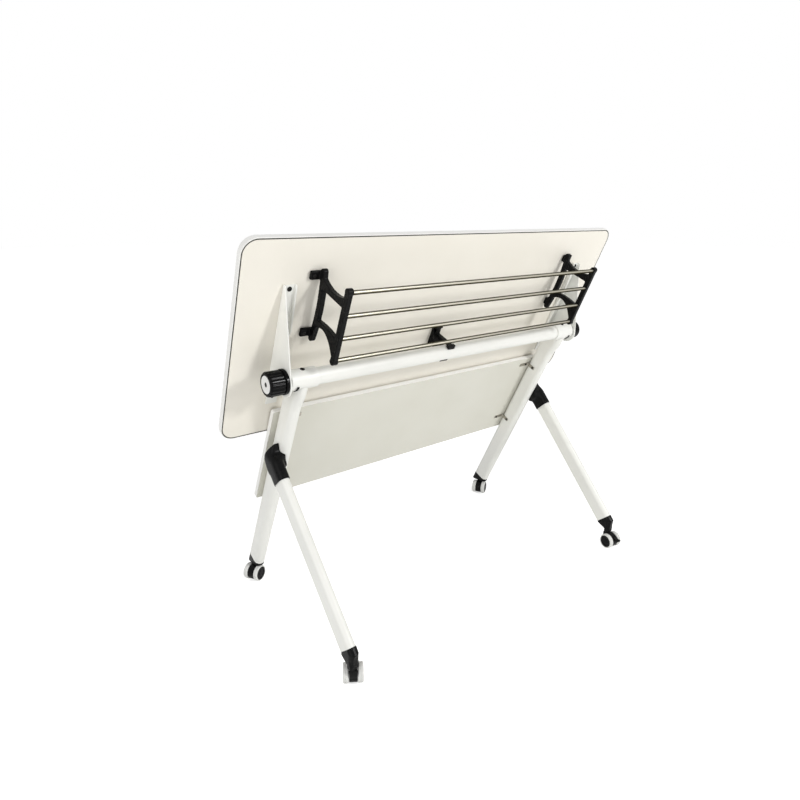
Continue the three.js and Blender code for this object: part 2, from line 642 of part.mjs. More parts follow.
// Support arm: a folded channel that deepens from its tip to a round eye on the pivot
function armWallOutline(depthLimit) {
  const seat = undersideSeat;
  const tip = new THREE.Vector2(-ARM_TIP_REACH, seat - ARM_TIP_DEPTH);
  const rear = new THREE.Vector2(ARM_WALL_REAR, seat - ARM_TIP_DEPTH);
  const centre = new THREE.Vector2(ARM_EYE_SETBACK, 0);
  const tangent = (from, turn) => {
    const toCentre = new THREE.Vector2().subVectors(centre, from);
    const swing = Math.asin(ARM_EYE_RADIUS / toCentre.length());
    return toCentre.angle() + turn * swing + turn * Math.PI / 2 + Math.PI;
  };
  const outline = new THREE.Shape();
  outline.moveTo(rear.x, seat);
  outline.lineTo(tip.x, seat);
  outline.lineTo(tip.x, tip.y);
  if (depthLimit) {
    outline.lineTo(-ARM_INNER_WALL_END - depthLimit, seat - depthLimit);
    outline.lineTo(-ARM_INNER_WALL_END, seat - ARM_TIP_DEPTH);
  } else {
    const start = tangent(tip, -1) + Math.PI;
    const end = tangent(rear, 1) + Math.PI;
    outline.absarc(centre.x, centre.y, ARM_EYE_RADIUS, start, end, false);
  }
  outline.lineTo(rear.x, rear.y);
  return outline;
}

function supportArm(side) {
  const inner = armOuter - ARM_WIDTH;
  const outerWall = prismX(armWallOutline(0), ...span(side, armOuter - ARM_SHEET, armOuter));
  const innerWall = prismX(armWallOutline(ARM_INNER_WALL_DEPTH), ...span(side, inner, inner + ARM_SHEET));
  const base = box(...span(side, inner, armOuter), -ARM_TIP_REACH, ARM_REAR_REACH,
    undersideSeat - ARM_SHEET, undersideSeat);
  const boss = rodX(ARM_EYE_RADIUS, ...span(side, armEyeStart, armOuter - OVERRUN), ARM_EYE_SETBACK, 0);
  const eye = rodX(boltHole, ...span(side, armEyeStart - OVERRUN, armOuter + OVERRUN), 0, 0, SMALL_SIDES);
  const screw = rodZ(ARM_SCREW_RADIUS, undersideSeat - 2 * ARM_SHEET, PIVOT_TO_UNDERSIDE,
    side * (armOuter - ARM_WIDTH / 2), -ARM_TIP_REACH + ARM_SCREW_INSET, SMALL_SIDES);
  return cut(join(outerWall, innerWall, base, boss), eye, screw);
}

for (const { name, side } of SIDES) {
  part(tippingTop, `support_arm_${name}`, supportArm(side), WHITE_PAINT);
}

// Book rack: two black brackets that carry the rods
const rodHeight = PIVOT_TO_UNDERSIDE - ROD_DROP;
const rackStation = legStation - RACK_INSET;
const rackNear = rackStation - RACK_THICKNESS / 2;
const rackFar = rackStation + RACK_THICKNESS / 2;

// A bar of the bracket, round at both ends, between two reaches in front of the pivot;
// its middle stands off from its ends by the arch
function rackBar(side, nearReach, farReach, z0, z1, arch = 0) {
  const round = (z1 - z0) / 2;
  const near = -nearReach - round;
  const far = -farReach + round;
  const middle = (near + far) / 2;
  const outline = new THREE.Shape();
  outline.absarc(near, z0 + round, round, -Math.PI / 2, Math.PI / 2, false);
  outline.quadraticCurveTo(middle, z1 - 2 * arch, far, z1);
  outline.absarc(far, z0 + round, round, Math.PI / 2, 1.5 * Math.PI, false);
  outline.quadraticCurveTo(middle, z0 - 2 * arch, near, z0);
  return prismX(outline, ...span(side, rackNear, rackFar));
}

// A curved web from the bar on the top to the bar that holds the rods; the bow carries its middle
// towards the rear and the foot draws it out along the outer bar
function rackWeb(side, reach, bow, foot) {
  const high = undersideSeat - RACK_BAR_FOOT - RACK_BAR_DEPTH / 2 - RACK_BAR_ARCH / 2;
  const middle = (high + rodHeight) / 2;
  const waist = RACK_WEB_THICKNESS - RACK_WEB_FLARE;
  const front = -reach - RACK_WEB_FLARE;
  const rear = -reach + RACK_WEB_FLARE;
  const outline = new THREE.Shape();
  outline.moveTo(front, high);
  outline.quadraticCurveTo(-reach + 2 * bow - waist, middle, front, rodHeight);
  outline.lineTo(rear + foot, rodHeight);
  outline.quadraticCurveTo(-reach + 2 * bow + waist - foot / 2, middle, rear, high);
  return prismX(outline, ...span(side, rackNear, rackFar));
}

function rackBracket(side) {
  const footZ = undersideSeat - RACK_BAR_FOOT;
  const innerBar = rackBar(
    side, RACK_INNER_BOTTOM, RACK_INNER_TOP, footZ - RACK_BAR_DEPTH, footZ, RACK_BAR_ARCH);
  const lowest = TOP_ROD_REACH - (ROD_COUNT - 1) * ROD_PITCH - RACK_BAR_OVERHANG;
  const outerBar = rackBar(side, lowest, TOP_ROD_REACH + RACK_BAR_OVERHANG,
    rodHeight - RACK_BAR_DEPTH / 2, rodHeight + RACK_BAR_DEPTH / 2);
  const webs = [
    rackWeb(side, RACK_UPPER_WEB, RACK_UPPER_BOW, 0),
    rackWeb(side, RACK_LOWER_WEB, RACK_LOWER_BOW, RACK_LOWER_FOOT),
  ];
  const padHalf = RACK_PAD_WIDTH / 2;
  const pads = [RACK_UPPER_PAD, RACK_LOWER_PAD].map((reach) => join(
    box(...span(side, rackNear, rackFar + RACK_PAD_LENGTH),
      -reach - padHalf, -reach + padHalf, footZ - OVERRUN, undersideSeat),
    box(...span(side, rackNear, rackFar),
      -reach - padHalf, -reach + padHalf, footZ - RACK_BAR_DEPTH / 2, undersideSeat)));
  const seats = rodReaches.map((reach) => rodX(
    ROD_RADIUS + CLEARANCE, ...span(side, rackNear - OVERRUN, rackNear + ROD_SEAT_DEPTH), -reach, rodHeight,
    SMALL_SIDES));
  return cut(join(innerBar, outerBar, ...webs, ...pads), ...seats);
}

const rodReaches = Array.from({ length: ROD_COUNT }, (_, row) => TOP_ROD_REACH - row * ROD_PITCH);
for (const { name, side } of SIDES) {
  part(tippingTop, `rack_bracket_${name}`, rackBracket(side), BLACK_PLASTIC);
}
rodReaches.forEach((reach, row) => {
  const half = rackNear + ROD_SEAT_DEPTH - CLEARANCE;
  const rod = rodX(ROD_RADIUS, -half, half, -reach, rodHeight, SMALL_SIDES);
  part(tippingTop, `rack_rod_${row + 1}`, rod, STAINLESS);
});

// Hook latch: a base under the top, a hook on a pin that rides on the beam, and its spring
const latchPinY = -LATCH_PIN_FORWARD;
const latchPinZ = undersideSeat - LATCH_PIN_DROP;
const latchPinHole = LATCH_PIN_RADIUS + CLEARANCE;
const latchHalf = LATCH_WIDTH / 2;
const cheekStart = latchHalf + CLEARANCE;
const cheekEnd = cheekStart + LATCH_CHEEK;

function latchBase() {
  const plate = box(-cheekEnd, cheekEnd, -LATCH_BASE_FRONT, LATCH_BASE_REAR,
    undersideSeat - LATCH_BASE_THICKNESS, undersideSeat);
  const foot = undersideSeat - LATCH_CHEEK_FOOT;
  const outline = new THREE.Shape();
  outline.moveTo(-LATCH_BASE_FRONT, undersideSeat - OVERRUN);
  outline.lineTo(latchPinY - LATCH_EYE_RADIUS, latchPinZ);
  outline.lineTo(latchPinY - LATCH_EYE_RADIUS / 2, foot);
  outline.lineTo(LATCH_BASE_REAR - LATCH_PIN_RADIUS, foot);
  outline.lineTo(LATCH_BASE_REAR, undersideSeat - LATCH_BASE_THICKNESS);
  outline.lineTo(LATCH_BASE_REAR, undersideSeat - OVERRUN);
  const cheeks = SIDES.map(({ side }) => prismX(outline, ...span(side, cheekStart, cheekEnd)));
  const hole = rodX(latchPinHole, -cheekEnd - OVERRUN, cheekEnd + OVERRUN, latchPinY, latchPinZ, SMALL_SIDES);
  return cut(join(plate, ...cheeks), hole);
}

function latchHook() {
  const beamClear = BEAM_RADIUS + 2 * CLEARANCE;
  const armFront = -beamClear - LATCH_ARM_DEPTH;
  const eye = LATCH_EYE_RADIUS - CLEARANCE;
  const tabEnd = armFront - LATCH_TAB_REACH;
  const tabHalf = LATCH_TAB_THICKNESS / 2;
  const outline = new THREE.Shape();
  outline.absarc(latchPinY, latchPinZ, eye, -Math.PI / 3, Math.PI, false);
  outline.lineTo(tabEnd, latchPinZ + tabHalf);
  outline.lineTo(tabEnd, latchPinZ - tabHalf);
  outline.lineTo(armFront, latchPinZ - tabHalf);
  outline.lineTo(armFront, -LATCH_NOSE_BELOW);
  outline.lineTo(-beamClear, -LATCH_NOSE_BELOW - LATCH_ARM_DEPTH / 2);
  outline.lineTo(-beamClear / 2, -LATCH_NOSE_BELOW);
  outline.lineTo(-beamClear, 0);
  outline.lineTo(-beamClear - LATCH_ARM_DEPTH / 2, BEAM_RADIUS);
  const arm = prismX(outline, -latchHalf, latchHalf);
  const tab = box(-LATCH_TAB_WIDTH / 2, LATCH_TAB_WIDTH / 2, tabEnd, tabEnd + LATCH_TAB_DEPTH,
    latchPinZ - tabHalf, latchPinZ + tabHalf);
  const beamSpace = rodX(beamClear, -LATCH_WIDTH, LATCH_WIDTH);
  const pinHole = rodX(latchPinHole, -LATCH_WIDTH, LATCH_WIDTH, latchPinY, latchPinZ, SMALL_SIDES);
  const springHalf = springLength / 2 + 2 * CLEARANCE;
  const springReach = springOuter + 2 * CLEARANCE;
  const springSpace = rodX(springReach, -springHalf, springHalf, latchPinY, latchPinZ, SMALL_SIDES);
  return cut(join(arm, tab), beamSpace, pinHole, springSpace);
}

// Return spring: a coil round the pin, whose least gap between turns is measured
const springMean = LATCH_PIN_RADIUS + 2 * CLEARANCE + SPRING_WIRE / 2;
const springOuter = springMean + SPRING_WIRE / 2;
const springLength = SPRING_TURNS * SPRING_PITCH + SPRING_WIRE;
const SPRING_STEPS = 8;
const SPRING_WIRE_SIDES = 5;

class SpringCoil extends THREE.Curve {
  getPoint(share, target = new THREE.Vector3()) {
    const turn = 2 * Math.PI * SPRING_TURNS * share;
    const x = SPRING_TURNS * SPRING_PITCH * (share - 0.5);
    return target.set(x, latchPinY + springMean * Math.cos(turn), latchPinZ + springMean * Math.sin(turn));
  }
}

function springGap(points) {
  let least = Infinity;
  points.forEach((point, index) => {
    points.slice(index + SPRING_STEPS - 1).forEach((other) => {
      least = Math.min(least, point.distanceTo(other) - SPRING_WIRE);
    });
  });
  return least;
}

function latchSpring() {
  const coil = new SpringCoil();
  const steps = SPRING_TURNS * SPRING_STEPS;
  console.log(`latch spring: least gap between turns ${springGap(coil.getPoints(steps)).toFixed(2)} mm`);
  const wire = Array.from({ length: SPRING_WIRE_SIDES }, (_, side) => {
    const turn = (2 * Math.PI * side) / SPRING_WIRE_SIDES;
    return new THREE.Vector2(Math.cos(turn), Math.sin(turn)).multiplyScalar(SPRING_WIRE / 2);
  });
  return new THREE.ExtrudeGeometry(new THREE.Shape(wire), { steps, extrudePath: coil, bevelEnabled: false });
}

const latch = new THREE.Group();
latch.position.x = LATCH_STATION;
tippingTop.add(latch);
const latchPin = rodX(LATCH_PIN_RADIUS, -cheekEnd, cheekEnd, latchPinY, latchPinZ, SMALL_SIDES);
part(latch, 'latch_base', latchBase(), BLACK_PLASTIC);
part(latch, 'latch_hook', latchHook(), BLACK_PLASTIC);
part(latch, 'latch_pin', latchPin, ZINC);
part(latch, 'latch_spring', latchSpring(), ZINC);

// Casters: a swivelling body on a stem, twin wheels on one axle, a brake lever on the front pair.
// Each is drawn trailing towards +Y from its stem, which is the group's origin.
const bodyHalf = CASTER_BODY_WIDTH / 2;
const wheelInner = bodyHalf + WHEEL_SIDE_GAP;
const wheelOuter = wheelInner + WHEEL_WIDTH;
const axleHalf = wheelOuter - WHEEL_SHOULDER - WHEEL_CAP_INSET;
const brakePinY = CASTER_TRAIL + BRAKE_PIN_OUT;
const brakePinZ = WHEEL_RADIUS + BRAKE_PIN_UP;

function brakeOutline(grow) {
  const thick = BRAKE_THICKNESS / 2 + grow;
  const outline = new THREE.Shape();
  outline.absarc(brakePinY, brakePinZ, thick, Math.PI / 2, 1.5 * Math.PI, false);
  outline.lineTo(brakePinY + BRAKE_REACH, brakePinZ - thick - BRAKE_THICKNESS / 2);
  outline.lineTo(brakePinY + BRAKE_REACH, brakePinZ + thick - BRAKE_THICKNESS / 2);
  return outline;
}

function casterBody(braked) {
  const drum = rodX(CASTER_BODY_RADIUS, -bodyHalf, bodyHalf, CASTER_TRAIL, WHEEL_RADIUS);
  const neckTop = CASTER_TOP - CASTER_FLANGE_HEIGHT;
  const flange = rodZ(NECK_RADIUS, neckTop, CASTER_TOP);
  const neck = box(-bodyHalf, bodyHalf, -bodyHalf, CASTER_TRAIL, WHEEL_RADIUS, neckTop + OVERRUN);
  const stem = rodZ(STEM_RADIUS, CASTER_TOP - OVERRUN, stemTop, 0, 0, SMALL_SIDES);
  const boreEnd = bodyHalf + OVERRUN;
  const boreRadius = AXLE_RADIUS + CLEARANCE;
  const bore = rodX(boreRadius, -boreEnd, boreEnd, CASTER_TRAIL, WHEEL_RADIUS, SMALL_SIDES);
  const body = cut(join(drum, neck, flange, stem), bore);
  if (!braked) {
    return body;
  }
  const pocketHalf = BRAKE_WIDTH / 2 + CLEARANCE;
  const pocket = prismX(brakeOutline(4 * CLEARANCE), -pocketHalf, pocketHalf);
  const swing = new THREE.Matrix4().makeTranslation(0, brakePinY, brakePinZ)
    .multiply(new THREE.Matrix4().makeRotationX(radians(-BRAKE_TRAVEL)))
    .multiply(new THREE.Matrix4().makeTranslation(0, -brakePinY, -brakePinZ));
  const pressedPocket = pocket.clone().applyMatrix4(swing);
  const holeRadius = BRAKE_PIN_RADIUS + CLEARANCE;
  const pinHole = rodX(holeRadius, -boreEnd, boreEnd, brakePinY, brakePinZ, SMALL_SIDES);
  return cut(body, pocket, pressedPocket, pinHole);
}

function brakeLever() {
  const lever = prismX(brakeOutline(0), -BRAKE_WIDTH / 2, BRAKE_WIDTH / 2);
  const pin = rodX(BRAKE_PIN_RADIUS, -bodyHalf, bodyHalf, brakePinY, brakePinZ, SMALL_SIDES);
  return join(lever, pin);
}

// Wheel profile, from its blind axle bore round the tread to its capped outer face
function wheel(side) {
  const boreEnd = axleHalf + WHEEL_SIDE_GAP;
  const profile = [
    [0, boreEnd],
    [AXLE_RADIUS + CLEARANCE, boreEnd],
    [AXLE_RADIUS + CLEARANCE, wheelInner],
    [WHEEL_RADIUS - WHEEL_SHOULDER, wheelInner],
    [WHEEL_RADIUS, wheelInner + WHEEL_SHOULDER],
    [WHEEL_RADIUS, wheelOuter - 2 * WHEEL_SHOULDER],
    [WHEEL_RADIUS - WHEEL_SHOULDER / 2, wheelOuter - WHEEL_SHOULDER / 2],
    [WHEEL_RADIUS - 2 * WHEEL_SHOULDER, wheelOuter],
    [WHEEL_CAP_RADIUS, wheelOuter],
    [WHEEL_CAP_RADIUS, wheelOuter - WHEEL_CAP_INSET],
    [0, wheelOuter - WHEEL_CAP_INSET],
  ];
  const points = profile.map(([radius, x]) => new THREE.Vector2(radius, x));
  const turned = new THREE.LatheGeometry(points, ROUND_SIDES).rotateZ(-Math.PI / 2);
  if (side < 0) {
    turned.rotateZ(Math.PI);
  }
  return turned.translate(0, CASTER_TRAIL, WHEEL_RADIUS);
}

const CASTERS = [
  { name: 'front_left', x: -frontLegStation, y: frontStemY, heading: FRONT_LEFT_HEADING, braked: true },
  { name: 'front_right', x: frontLegStation, y: frontStemY, heading: FRONT_RIGHT_HEADING, braked: true },
  { name: 'rear_left', x: -legStation, y: rearStemY, heading: REAR_LEFT_HEADING, braked: false },
  { name: 'rear_right', x: legStation, y: rearStemY, heading: REAR_RIGHT_HEADING, braked: false },
];

for (const { name, x, y, heading, braked } of CASTERS) {
  const caster = new THREE.Group();
  caster.position.set(x, y, 0);
  caster.rotation.z = radians(heading);
  table.add(caster);
  part(caster, `caster_body_${name}`, casterBody(braked), BLACK_PLASTIC);
  const axle = rodX(AXLE_RADIUS, -axleHalf, axleHalf, CASTER_TRAIL, WHEEL_RADIUS, SMALL_SIDES);
  part(caster, `axle_${name}`, axle, ZINC);
  for (const { name: hand, side } of SIDES) {
    part(caster, `wheel_${name}_${hand}`, wheel(side), WHITE_PLASTIC);
  }
  if (braked) {
    part(caster, `brake_lever_${name}`, brakeLever(), BLACK_PLASTIC);
  }
}

// The origin is on the floor, under the middle of the table's plan
const plan = new THREE.Box3().setFromObject(table, true);
const centre = plan.getCenter(new THREE.Vector3());
const product = new THREE.Group();
table.position.set(-centre.x, -centre.y, 0);
product.add(table);

export default product;
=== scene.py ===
"""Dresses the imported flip-top training table: one class per sub-assembly, drawn in millimetres."""
import json
import logging
import math
from dataclasses import dataclass
from enum import Enum
from typing import Callable, Sequence

import bmesh
import bpy
from mathutils import Matrix, Vector


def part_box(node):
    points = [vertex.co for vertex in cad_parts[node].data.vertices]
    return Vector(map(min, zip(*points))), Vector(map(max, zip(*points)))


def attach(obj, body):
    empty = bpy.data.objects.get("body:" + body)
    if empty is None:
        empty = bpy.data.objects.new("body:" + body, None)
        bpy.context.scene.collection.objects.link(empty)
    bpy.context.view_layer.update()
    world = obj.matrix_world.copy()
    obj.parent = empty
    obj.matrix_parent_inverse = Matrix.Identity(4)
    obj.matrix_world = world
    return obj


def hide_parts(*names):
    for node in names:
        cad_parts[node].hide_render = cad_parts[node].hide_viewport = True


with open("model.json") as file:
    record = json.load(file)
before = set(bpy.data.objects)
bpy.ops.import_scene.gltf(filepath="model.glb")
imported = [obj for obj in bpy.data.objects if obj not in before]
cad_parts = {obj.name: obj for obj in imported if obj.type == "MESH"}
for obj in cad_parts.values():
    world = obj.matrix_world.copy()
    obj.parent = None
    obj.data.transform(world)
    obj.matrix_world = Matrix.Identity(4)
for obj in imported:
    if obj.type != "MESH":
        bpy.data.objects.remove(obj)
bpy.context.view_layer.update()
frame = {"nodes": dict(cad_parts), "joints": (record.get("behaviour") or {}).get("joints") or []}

MM = 0.001
LOG = logging.getLogger("flip_top_table")
Colour = tuple[float, float, float]


class Axis(Enum):
    """The direction a section runs in; the section is drawn in the other two, in their order."""

    X = 0
    Y = 1
    Z = 2

    def point(self, u: float, v: float, along: float) -> Vector:
        """Puts a section's point at a distance along this axis."""
        place = [u, v]
        place.insert(self.value, along)
        return Vector(place)


class Side(Enum):
    """The two ends of the table, as the sign of X."""

    LEFT = -1
    RIGHT = 1

    def span(self, near: float, far: float) -> list[float]:
        """Gives both ends of a stretch along X, from distances off the middle."""
        return sorted((self.value * near, self.value * far))

    def named(self, node: str) -> str:
        """Adds this side's name to a node's name."""
        return f"{node}_{self.name.lower()}"


class Corner(Enum):
    """The four casters, and whether each has a brake."""

    FRONT_LEFT = ("front_left", True)
    FRONT_RIGHT = ("front_right", True)
    REAR_LEFT = ("rear_left", False)
    REAR_RIGHT = ("rear_right", False)

    @property
    def label(self) -> str:
        """The corner's name in node and joint names."""
        return self.value[0]

    @property
    def braked(self) -> bool:
        """Whether this corner's caster has a brake lever."""
        return self.value[1]


class Outline:
    """A flat outline, drawn point by point."""

    def __init__(self, *start: tuple[float, float]) -> None:
        """Starts from any points given."""
        self.points: list[tuple[float, float]] = list(start)

    def to(self, u: float, v: float) -> "Outline":
        """Runs straight to a point."""
        self.points.append((u, v))
        return self

    def arc(self, centre: tuple[float, float], radius: float, start: float, end: float,
            steps: int = 10) -> "Outline":
        """Runs round an arc.

        Args:
            centre: The arc's centre.
            radius: Its radius.
            start: The angle it starts from, in degrees.
            end: The angle it ends at, in degrees.
            steps: How many straight steps it has.

        Returns:
            The same outline, for the next stretch.
        """
        for step in range(steps + 1):
            turn = math.radians(start + (end - start) * step / steps)
            self.to(centre[0] + radius * math.cos(turn), centre[1] + radius * math.sin(turn))
        return self

    def bend(self, control: tuple[float, float], end: tuple[float, float], steps: int = 12) -> "Outline":
        """Runs along a smooth bend.

        Args:
            control: The corner that the bend rounds off.
            end: Where it ends.
            steps: How many straight steps it has.

        Returns:
            The same outline, for the next stretch.
        """
        start = Vector(self.points[-1])
        for step in range(1, steps + 1):
            share = step / steps
            first = start.lerp(Vector(control), share)
            second = Vector(control).lerp(Vector(end), share)
            self.to(*first.lerp(second, share))
        return self

    @classmethod
    def rounded(cls, low: tuple[float, float], high: tuple[float, float], radius: float,
                steps: int = 12) -> "Outline":
        """Draws a rectangle with round corners.

        Args:
            low: Its lowest corner.
            high: Its highest corner.
            radius: The corners' radius.
            steps: Straight steps in each corner.

        Returns:
            The closed outline.
        """
        u0, v0 = low[0] + radius, low[1] + radius
        u1, v1 = high[0] - radius, high[1] - radius
        shape = cls().arc((u1, v0), radius, -90, 0, steps).arc((u1, v1), radius, 0, 90, steps)
        return shape.arc((u0, v1), radius, 90, 180, steps).arc((u0, v0), radius, 180, 270, steps)

    @classmethod
    def oval(cls, width: float, depth: float, centre: float = 0.0, steps: int = 24) -> "Outline":
        """Draws a flat oval, round at both ends of its depth.

        Args:
            width: Its size along the first direction.
            depth: Its size along the second.
            centre: Where its middle is along the first direction.
            steps: Straight steps in each round end.

        Returns:
            The closed outline.
        """
        end = (depth - width) / 2
        shape = cls().arc((centre, end), width / 2, 0, 180, steps)
        return shape.arc((centre, -end), width / 2, 180, 360, steps)

    @classmethod
    def circle(cls, radius: float, centre: tuple[float, float] = (0.0, 0.0), sides: int = 64) -> "Outline":
        """Draws a circle.

        Args:
            radius: Its radius.
            centre: Its centre.
            sides: How many straight sides stand for it.

        Returns:
            The closed outline.
        """
        shape = cls().arc(centre, radius, 0, 360, sides)
        shape.points.pop()
        return shape


class Stock:
    """A solid being worked, in millimetres, in the frame it is drawn in."""

    def __init__(self) -> None:
        """Starts with nothing."""
        self.bm = bmesh.new()

    @classmethod
    def prism(cls, outline: Outline, levels: Sequence[float], axis: Axis) -> "Stock":
        """Runs an outline along an axis.

        Args:
            outline: The section, drawn in the other two axes.
            levels: Where it starts, any rings between, and where it ends.
            axis: The direction it runs in.

        Returns:
            The closed solid.
        """
        stock = cls()
        verts = [stock.bm.verts.new(axis.point(u, v, levels[0])) for u, v in outline.points]
        bmesh.ops.remove_doubles(stock.bm, verts=verts, dist=1e-4)
        face = stock.bm.faces.new(list(stock.bm.verts))
        for low, high in zip(levels, levels[1:]):
            face = stock.raise_face(face, axis.point(0, 0, high - low))
        return stock.closed()

    @classmethod
    def block(cls, x: Sequence[float], y: Sequence[float], z: Sequence[float]) -> "Stock":
        """Makes a block from its limits.

        Args:
            x: Lowest and highest X.
            y: Lowest and highest Y.
            z: Lowest and highest Z.

        Returns:
            The block.
        """
        stock = cls()
        sizes = Vector((x[1] - x[0], y[1] - y[0], z[1] - z[0]))
        centre = Vector((sum(x) / 2, sum(y) / 2, sum(z) / 2))
        bmesh.ops.create_cube(stock.bm, size=1, matrix=Matrix.LocRotScale(centre, None, sizes))
        return stock

    @classmethod
    def rod(cls, radius: float, span: Sequence[float], axis: Axis = Axis.X,
            centre: tuple[float, float] = (0.0, 0.0), sides: int = 64) -> "Stock":
        """Makes a round bar, or one with few flat sides.

        Args:
            radius: Its radius, over the corners.
            span: Where it starts and ends.
            axis: The direction it runs in.
            centre: Where its axis is in the other two directions.
            sides: How many sides it has.

        Returns:
            The bar.
        """
        return cls.prism(Outline.circle(radius, centre, sides), span, axis)

    @classmethod
    def ring(cls, outline: Outline, wall: float, span: Sequence[float], axis: Axis) -> "Stock":
        """Runs a wall of even thickness round an outline.

        Args:
            outline: The wall's outside.
            wall: Its thickness, inwards.
            span: Where it starts and ends along the axis.
            axis: The direction it stands in.

        Returns:
            The closed ring.
        """
        stock = cls()
        verts = [stock.bm.verts.new(axis.point(u, v, span[0])) for u, v in outline.points]
        bmesh.ops.remove_doubles(stock.bm, verts=verts, dist=1e-4)
        face = stock.bm.faces.new(list(stock.bm.verts))
        face.normal_update()
        walls = bmesh.ops.inset_region(stock.bm, faces=[face], thickness=wall, use_even_offset=True,
                                       use_boundary=True)["faces"]
        bmesh.ops.delete(stock.bm, geom=[face], context="FACES_ONLY")
        made = bmesh.ops.extrude_face_region(stock.bm, geom=walls)["geom"]
        bmesh.ops.translate(stock.bm, vec=axis.point(0, 0, span[1] - span[0]),
                            verts=[item for item in made if isinstance(item, bmesh.types.BMVert)])
        return stock.closed()

    @classmethod
    def turned(cls, profile: Outline, axis: Axis = Axis.X, steps: int = 72, loop: bool = False) -> "Stock":
        """Spins a profile of (along, radius) points into a solid.

        Args:
            profile: From the axis round to the axis, or a closed loop.
            axis: The axis it spins about.
            steps: How many steps make the full turn.
            loop: Whether the profile closes on itself.

        Returns:
            The closed solid.
        """
        stock = cls()
        bm = stock.bm
        verts = [bm.verts.new(axis.point(radius, 0, along)) for along, radius in profile.points]
        pairs = list(zip(verts, verts[1:]))
        if loop:
            pairs.append((verts[-1], verts[0]))
        edges = [bm.edges.new(pair) for pair in pairs]
        bmesh.ops.spin(bm, geom=verts + edges, cent=(0, 0, 0), axis=axis.point(0, 0, 1), dvec=(0, 0, 0),
                       angle=math.tau, steps=steps, use_merge=True, use_duplicate=False)
        return stock.closed()

    @classmethod
    def coil(cls, wire: float, mean: float, pitch: float, turns: int, steps: int = 28) -> "Stock":
        """Winds a round wire into an open helix about X, centred on the origin.

        Args:
            wire: The wire's diameter.
            mean: The radius at the wire's middle.
            pitch: The advance in one turn.
            turns: How many turns.
            steps: Steps in each turn.

        Returns:
            The wire, closed at both ends.
        """
        stock = cls()
        start = Matrix.Translation((-pitch * turns / 2, mean, 0))
        made = bmesh.ops.create_circle(stock.bm, cap_ends=True, segments=12, radius=wire / 2, matrix=start)
        faces = list({face for vert in made["verts"] for face in vert.link_faces})
        bmesh.ops.spin(stock.bm, geom=faces, cent=(0, 0, 0), axis=(1, 0, 0), dvec=(pitch / steps, 0, 0),
                       angle=math.tau * turns, steps=steps * turns, use_duplicate=False)
        return stock.closed()

    def raise_face(self, face: bmesh.types.BMFace, by: Vector) -> bmesh.types.BMFace:
        """Extrudes one face, which stays behind only where it closes the solid's start.

        Args:
            face: The face.
            by: How far, and which way.

        Returns:
            The face at its new place.
        """
        inner = all(len(edge.link_faces) > 1 for edge in face.edges)
        made = bmesh.ops.extrude_face_region(self.bm, geom=[face])["geom"]
        if inner:
            bmesh.ops.delete(self.bm, geom=[face], context="FACES_ONLY")
        bmesh.ops.translate(self.bm, vec=by,
                            verts=[item for item in made if isinstance(item, bmesh.types.BMVert)])
        return next(item for item in made if isinstance(item, bmesh.types.BMFace))

    def closed(self) -> "Stock":
        """Merges doubles and turns every face outwards."""
        bmesh.ops.remove_doubles(self.bm, verts=self.bm.verts, dist=1e-4)
        bmesh.ops.recalc_face_normals(self.bm, faces=self.bm.faces)
        return self

    def soften(self, width: float, segments: int = 3, over: float = 40.0,
               where: Callable[[Vector], bool] = bool) -> "Stock":
        """Rounds the edges that turn sharply.

        Args:
            width: The bevel's width.
            segments: Its steps.
            over: The least angle between faces, in degrees, of an edge that is rounded.
            where: Picks the edges to round by both their ends; all of them unless it is given.

        Returns:
            The same solid.
        """
        sharp = [edge for edge in self.bm.edges
                 if len(edge.link_faces) == 2 and math.degrees(edge.calc_face_angle()) > over
                 and all(where(vert.co) for vert in edge.verts)]
        bmesh.ops.bevel(self.bm, geom=sharp, offset=width, offset_type="OFFSET", segments=segments,
                        profile=0.5, affect="EDGES", material=-1, clamp_overlap=True)
        return self

    def moved(self, place: Matrix) -> "Stock":
        """Moves the solid by a matrix."""
        self.bm.transform(place)
        return self

    def shaped(self, pull: Callable[[Vector], Vector]) -> "Stock":
        """Moves each vertex to where a rule puts it."""
        for vert in self.bm.verts:
            vert.co = pull(vert.co)
        return self

    def trimmed(self, point: Vector, normal: Vector) -> "Stock":
        """Cuts away what lies on the normal's side of a plane.

        Args:
            point: A point of the plane.
            normal: Its direction, towards the waste.

        Returns:
            The same solid, closed along the cut.
        """
        everything = list(self.bm.verts) + list(self.bm.edges) + list(self.bm.faces)
        cut = bmesh.ops.bisect_plane(self.bm, geom=everything, plane_co=point, plane_no=normal,
                                     clear_outer=True)["geom_cut"]
        rim = [item for item in cut if isinstance(item, bmesh.types.BMEdge)]
        bmesh.ops.edgeloop_fill(self.bm, edges=rim)
        return self.closed()

    def beside(self, *others: "Stock") -> "Stock":
        """Takes in other solids that stay apart from it."""
        for other in others:
            mesh = bpy.data.meshes.new("beside")
            other.bm.to_mesh(mesh)
            self.bm.from_mesh(mesh)
            bpy.data.meshes.remove(mesh)
        return self

    def plus(self, *others: "Stock") -> "Stock":
        """Joins other solids to this one."""
        return self.combined("UNION", others)

    def minus(self, *others: "Stock") -> "Stock":
        """Cuts other solids out of this one."""
        return self.combined("DIFFERENCE", others)

    def combined(self, operation: str, others: Sequence["Stock"]) -> "Stock":
        """Runs exact booleans with other solids.

        Args:
            operation: UNION or DIFFERENCE.
            others: The other solids.

        Returns:
            The same solid.
        """
        tools = [other.as_object("tool") for other in others]

        def fit(bench: bpy.types.Object) -> None:
            """Adds one boolean for each tool."""
            for tool in tools:
                modifier = bench.modifiers.new("cut", "BOOLEAN")
                modifier.operation = operation
                modifier.solver = "EXACT"
                modifier.object = tool

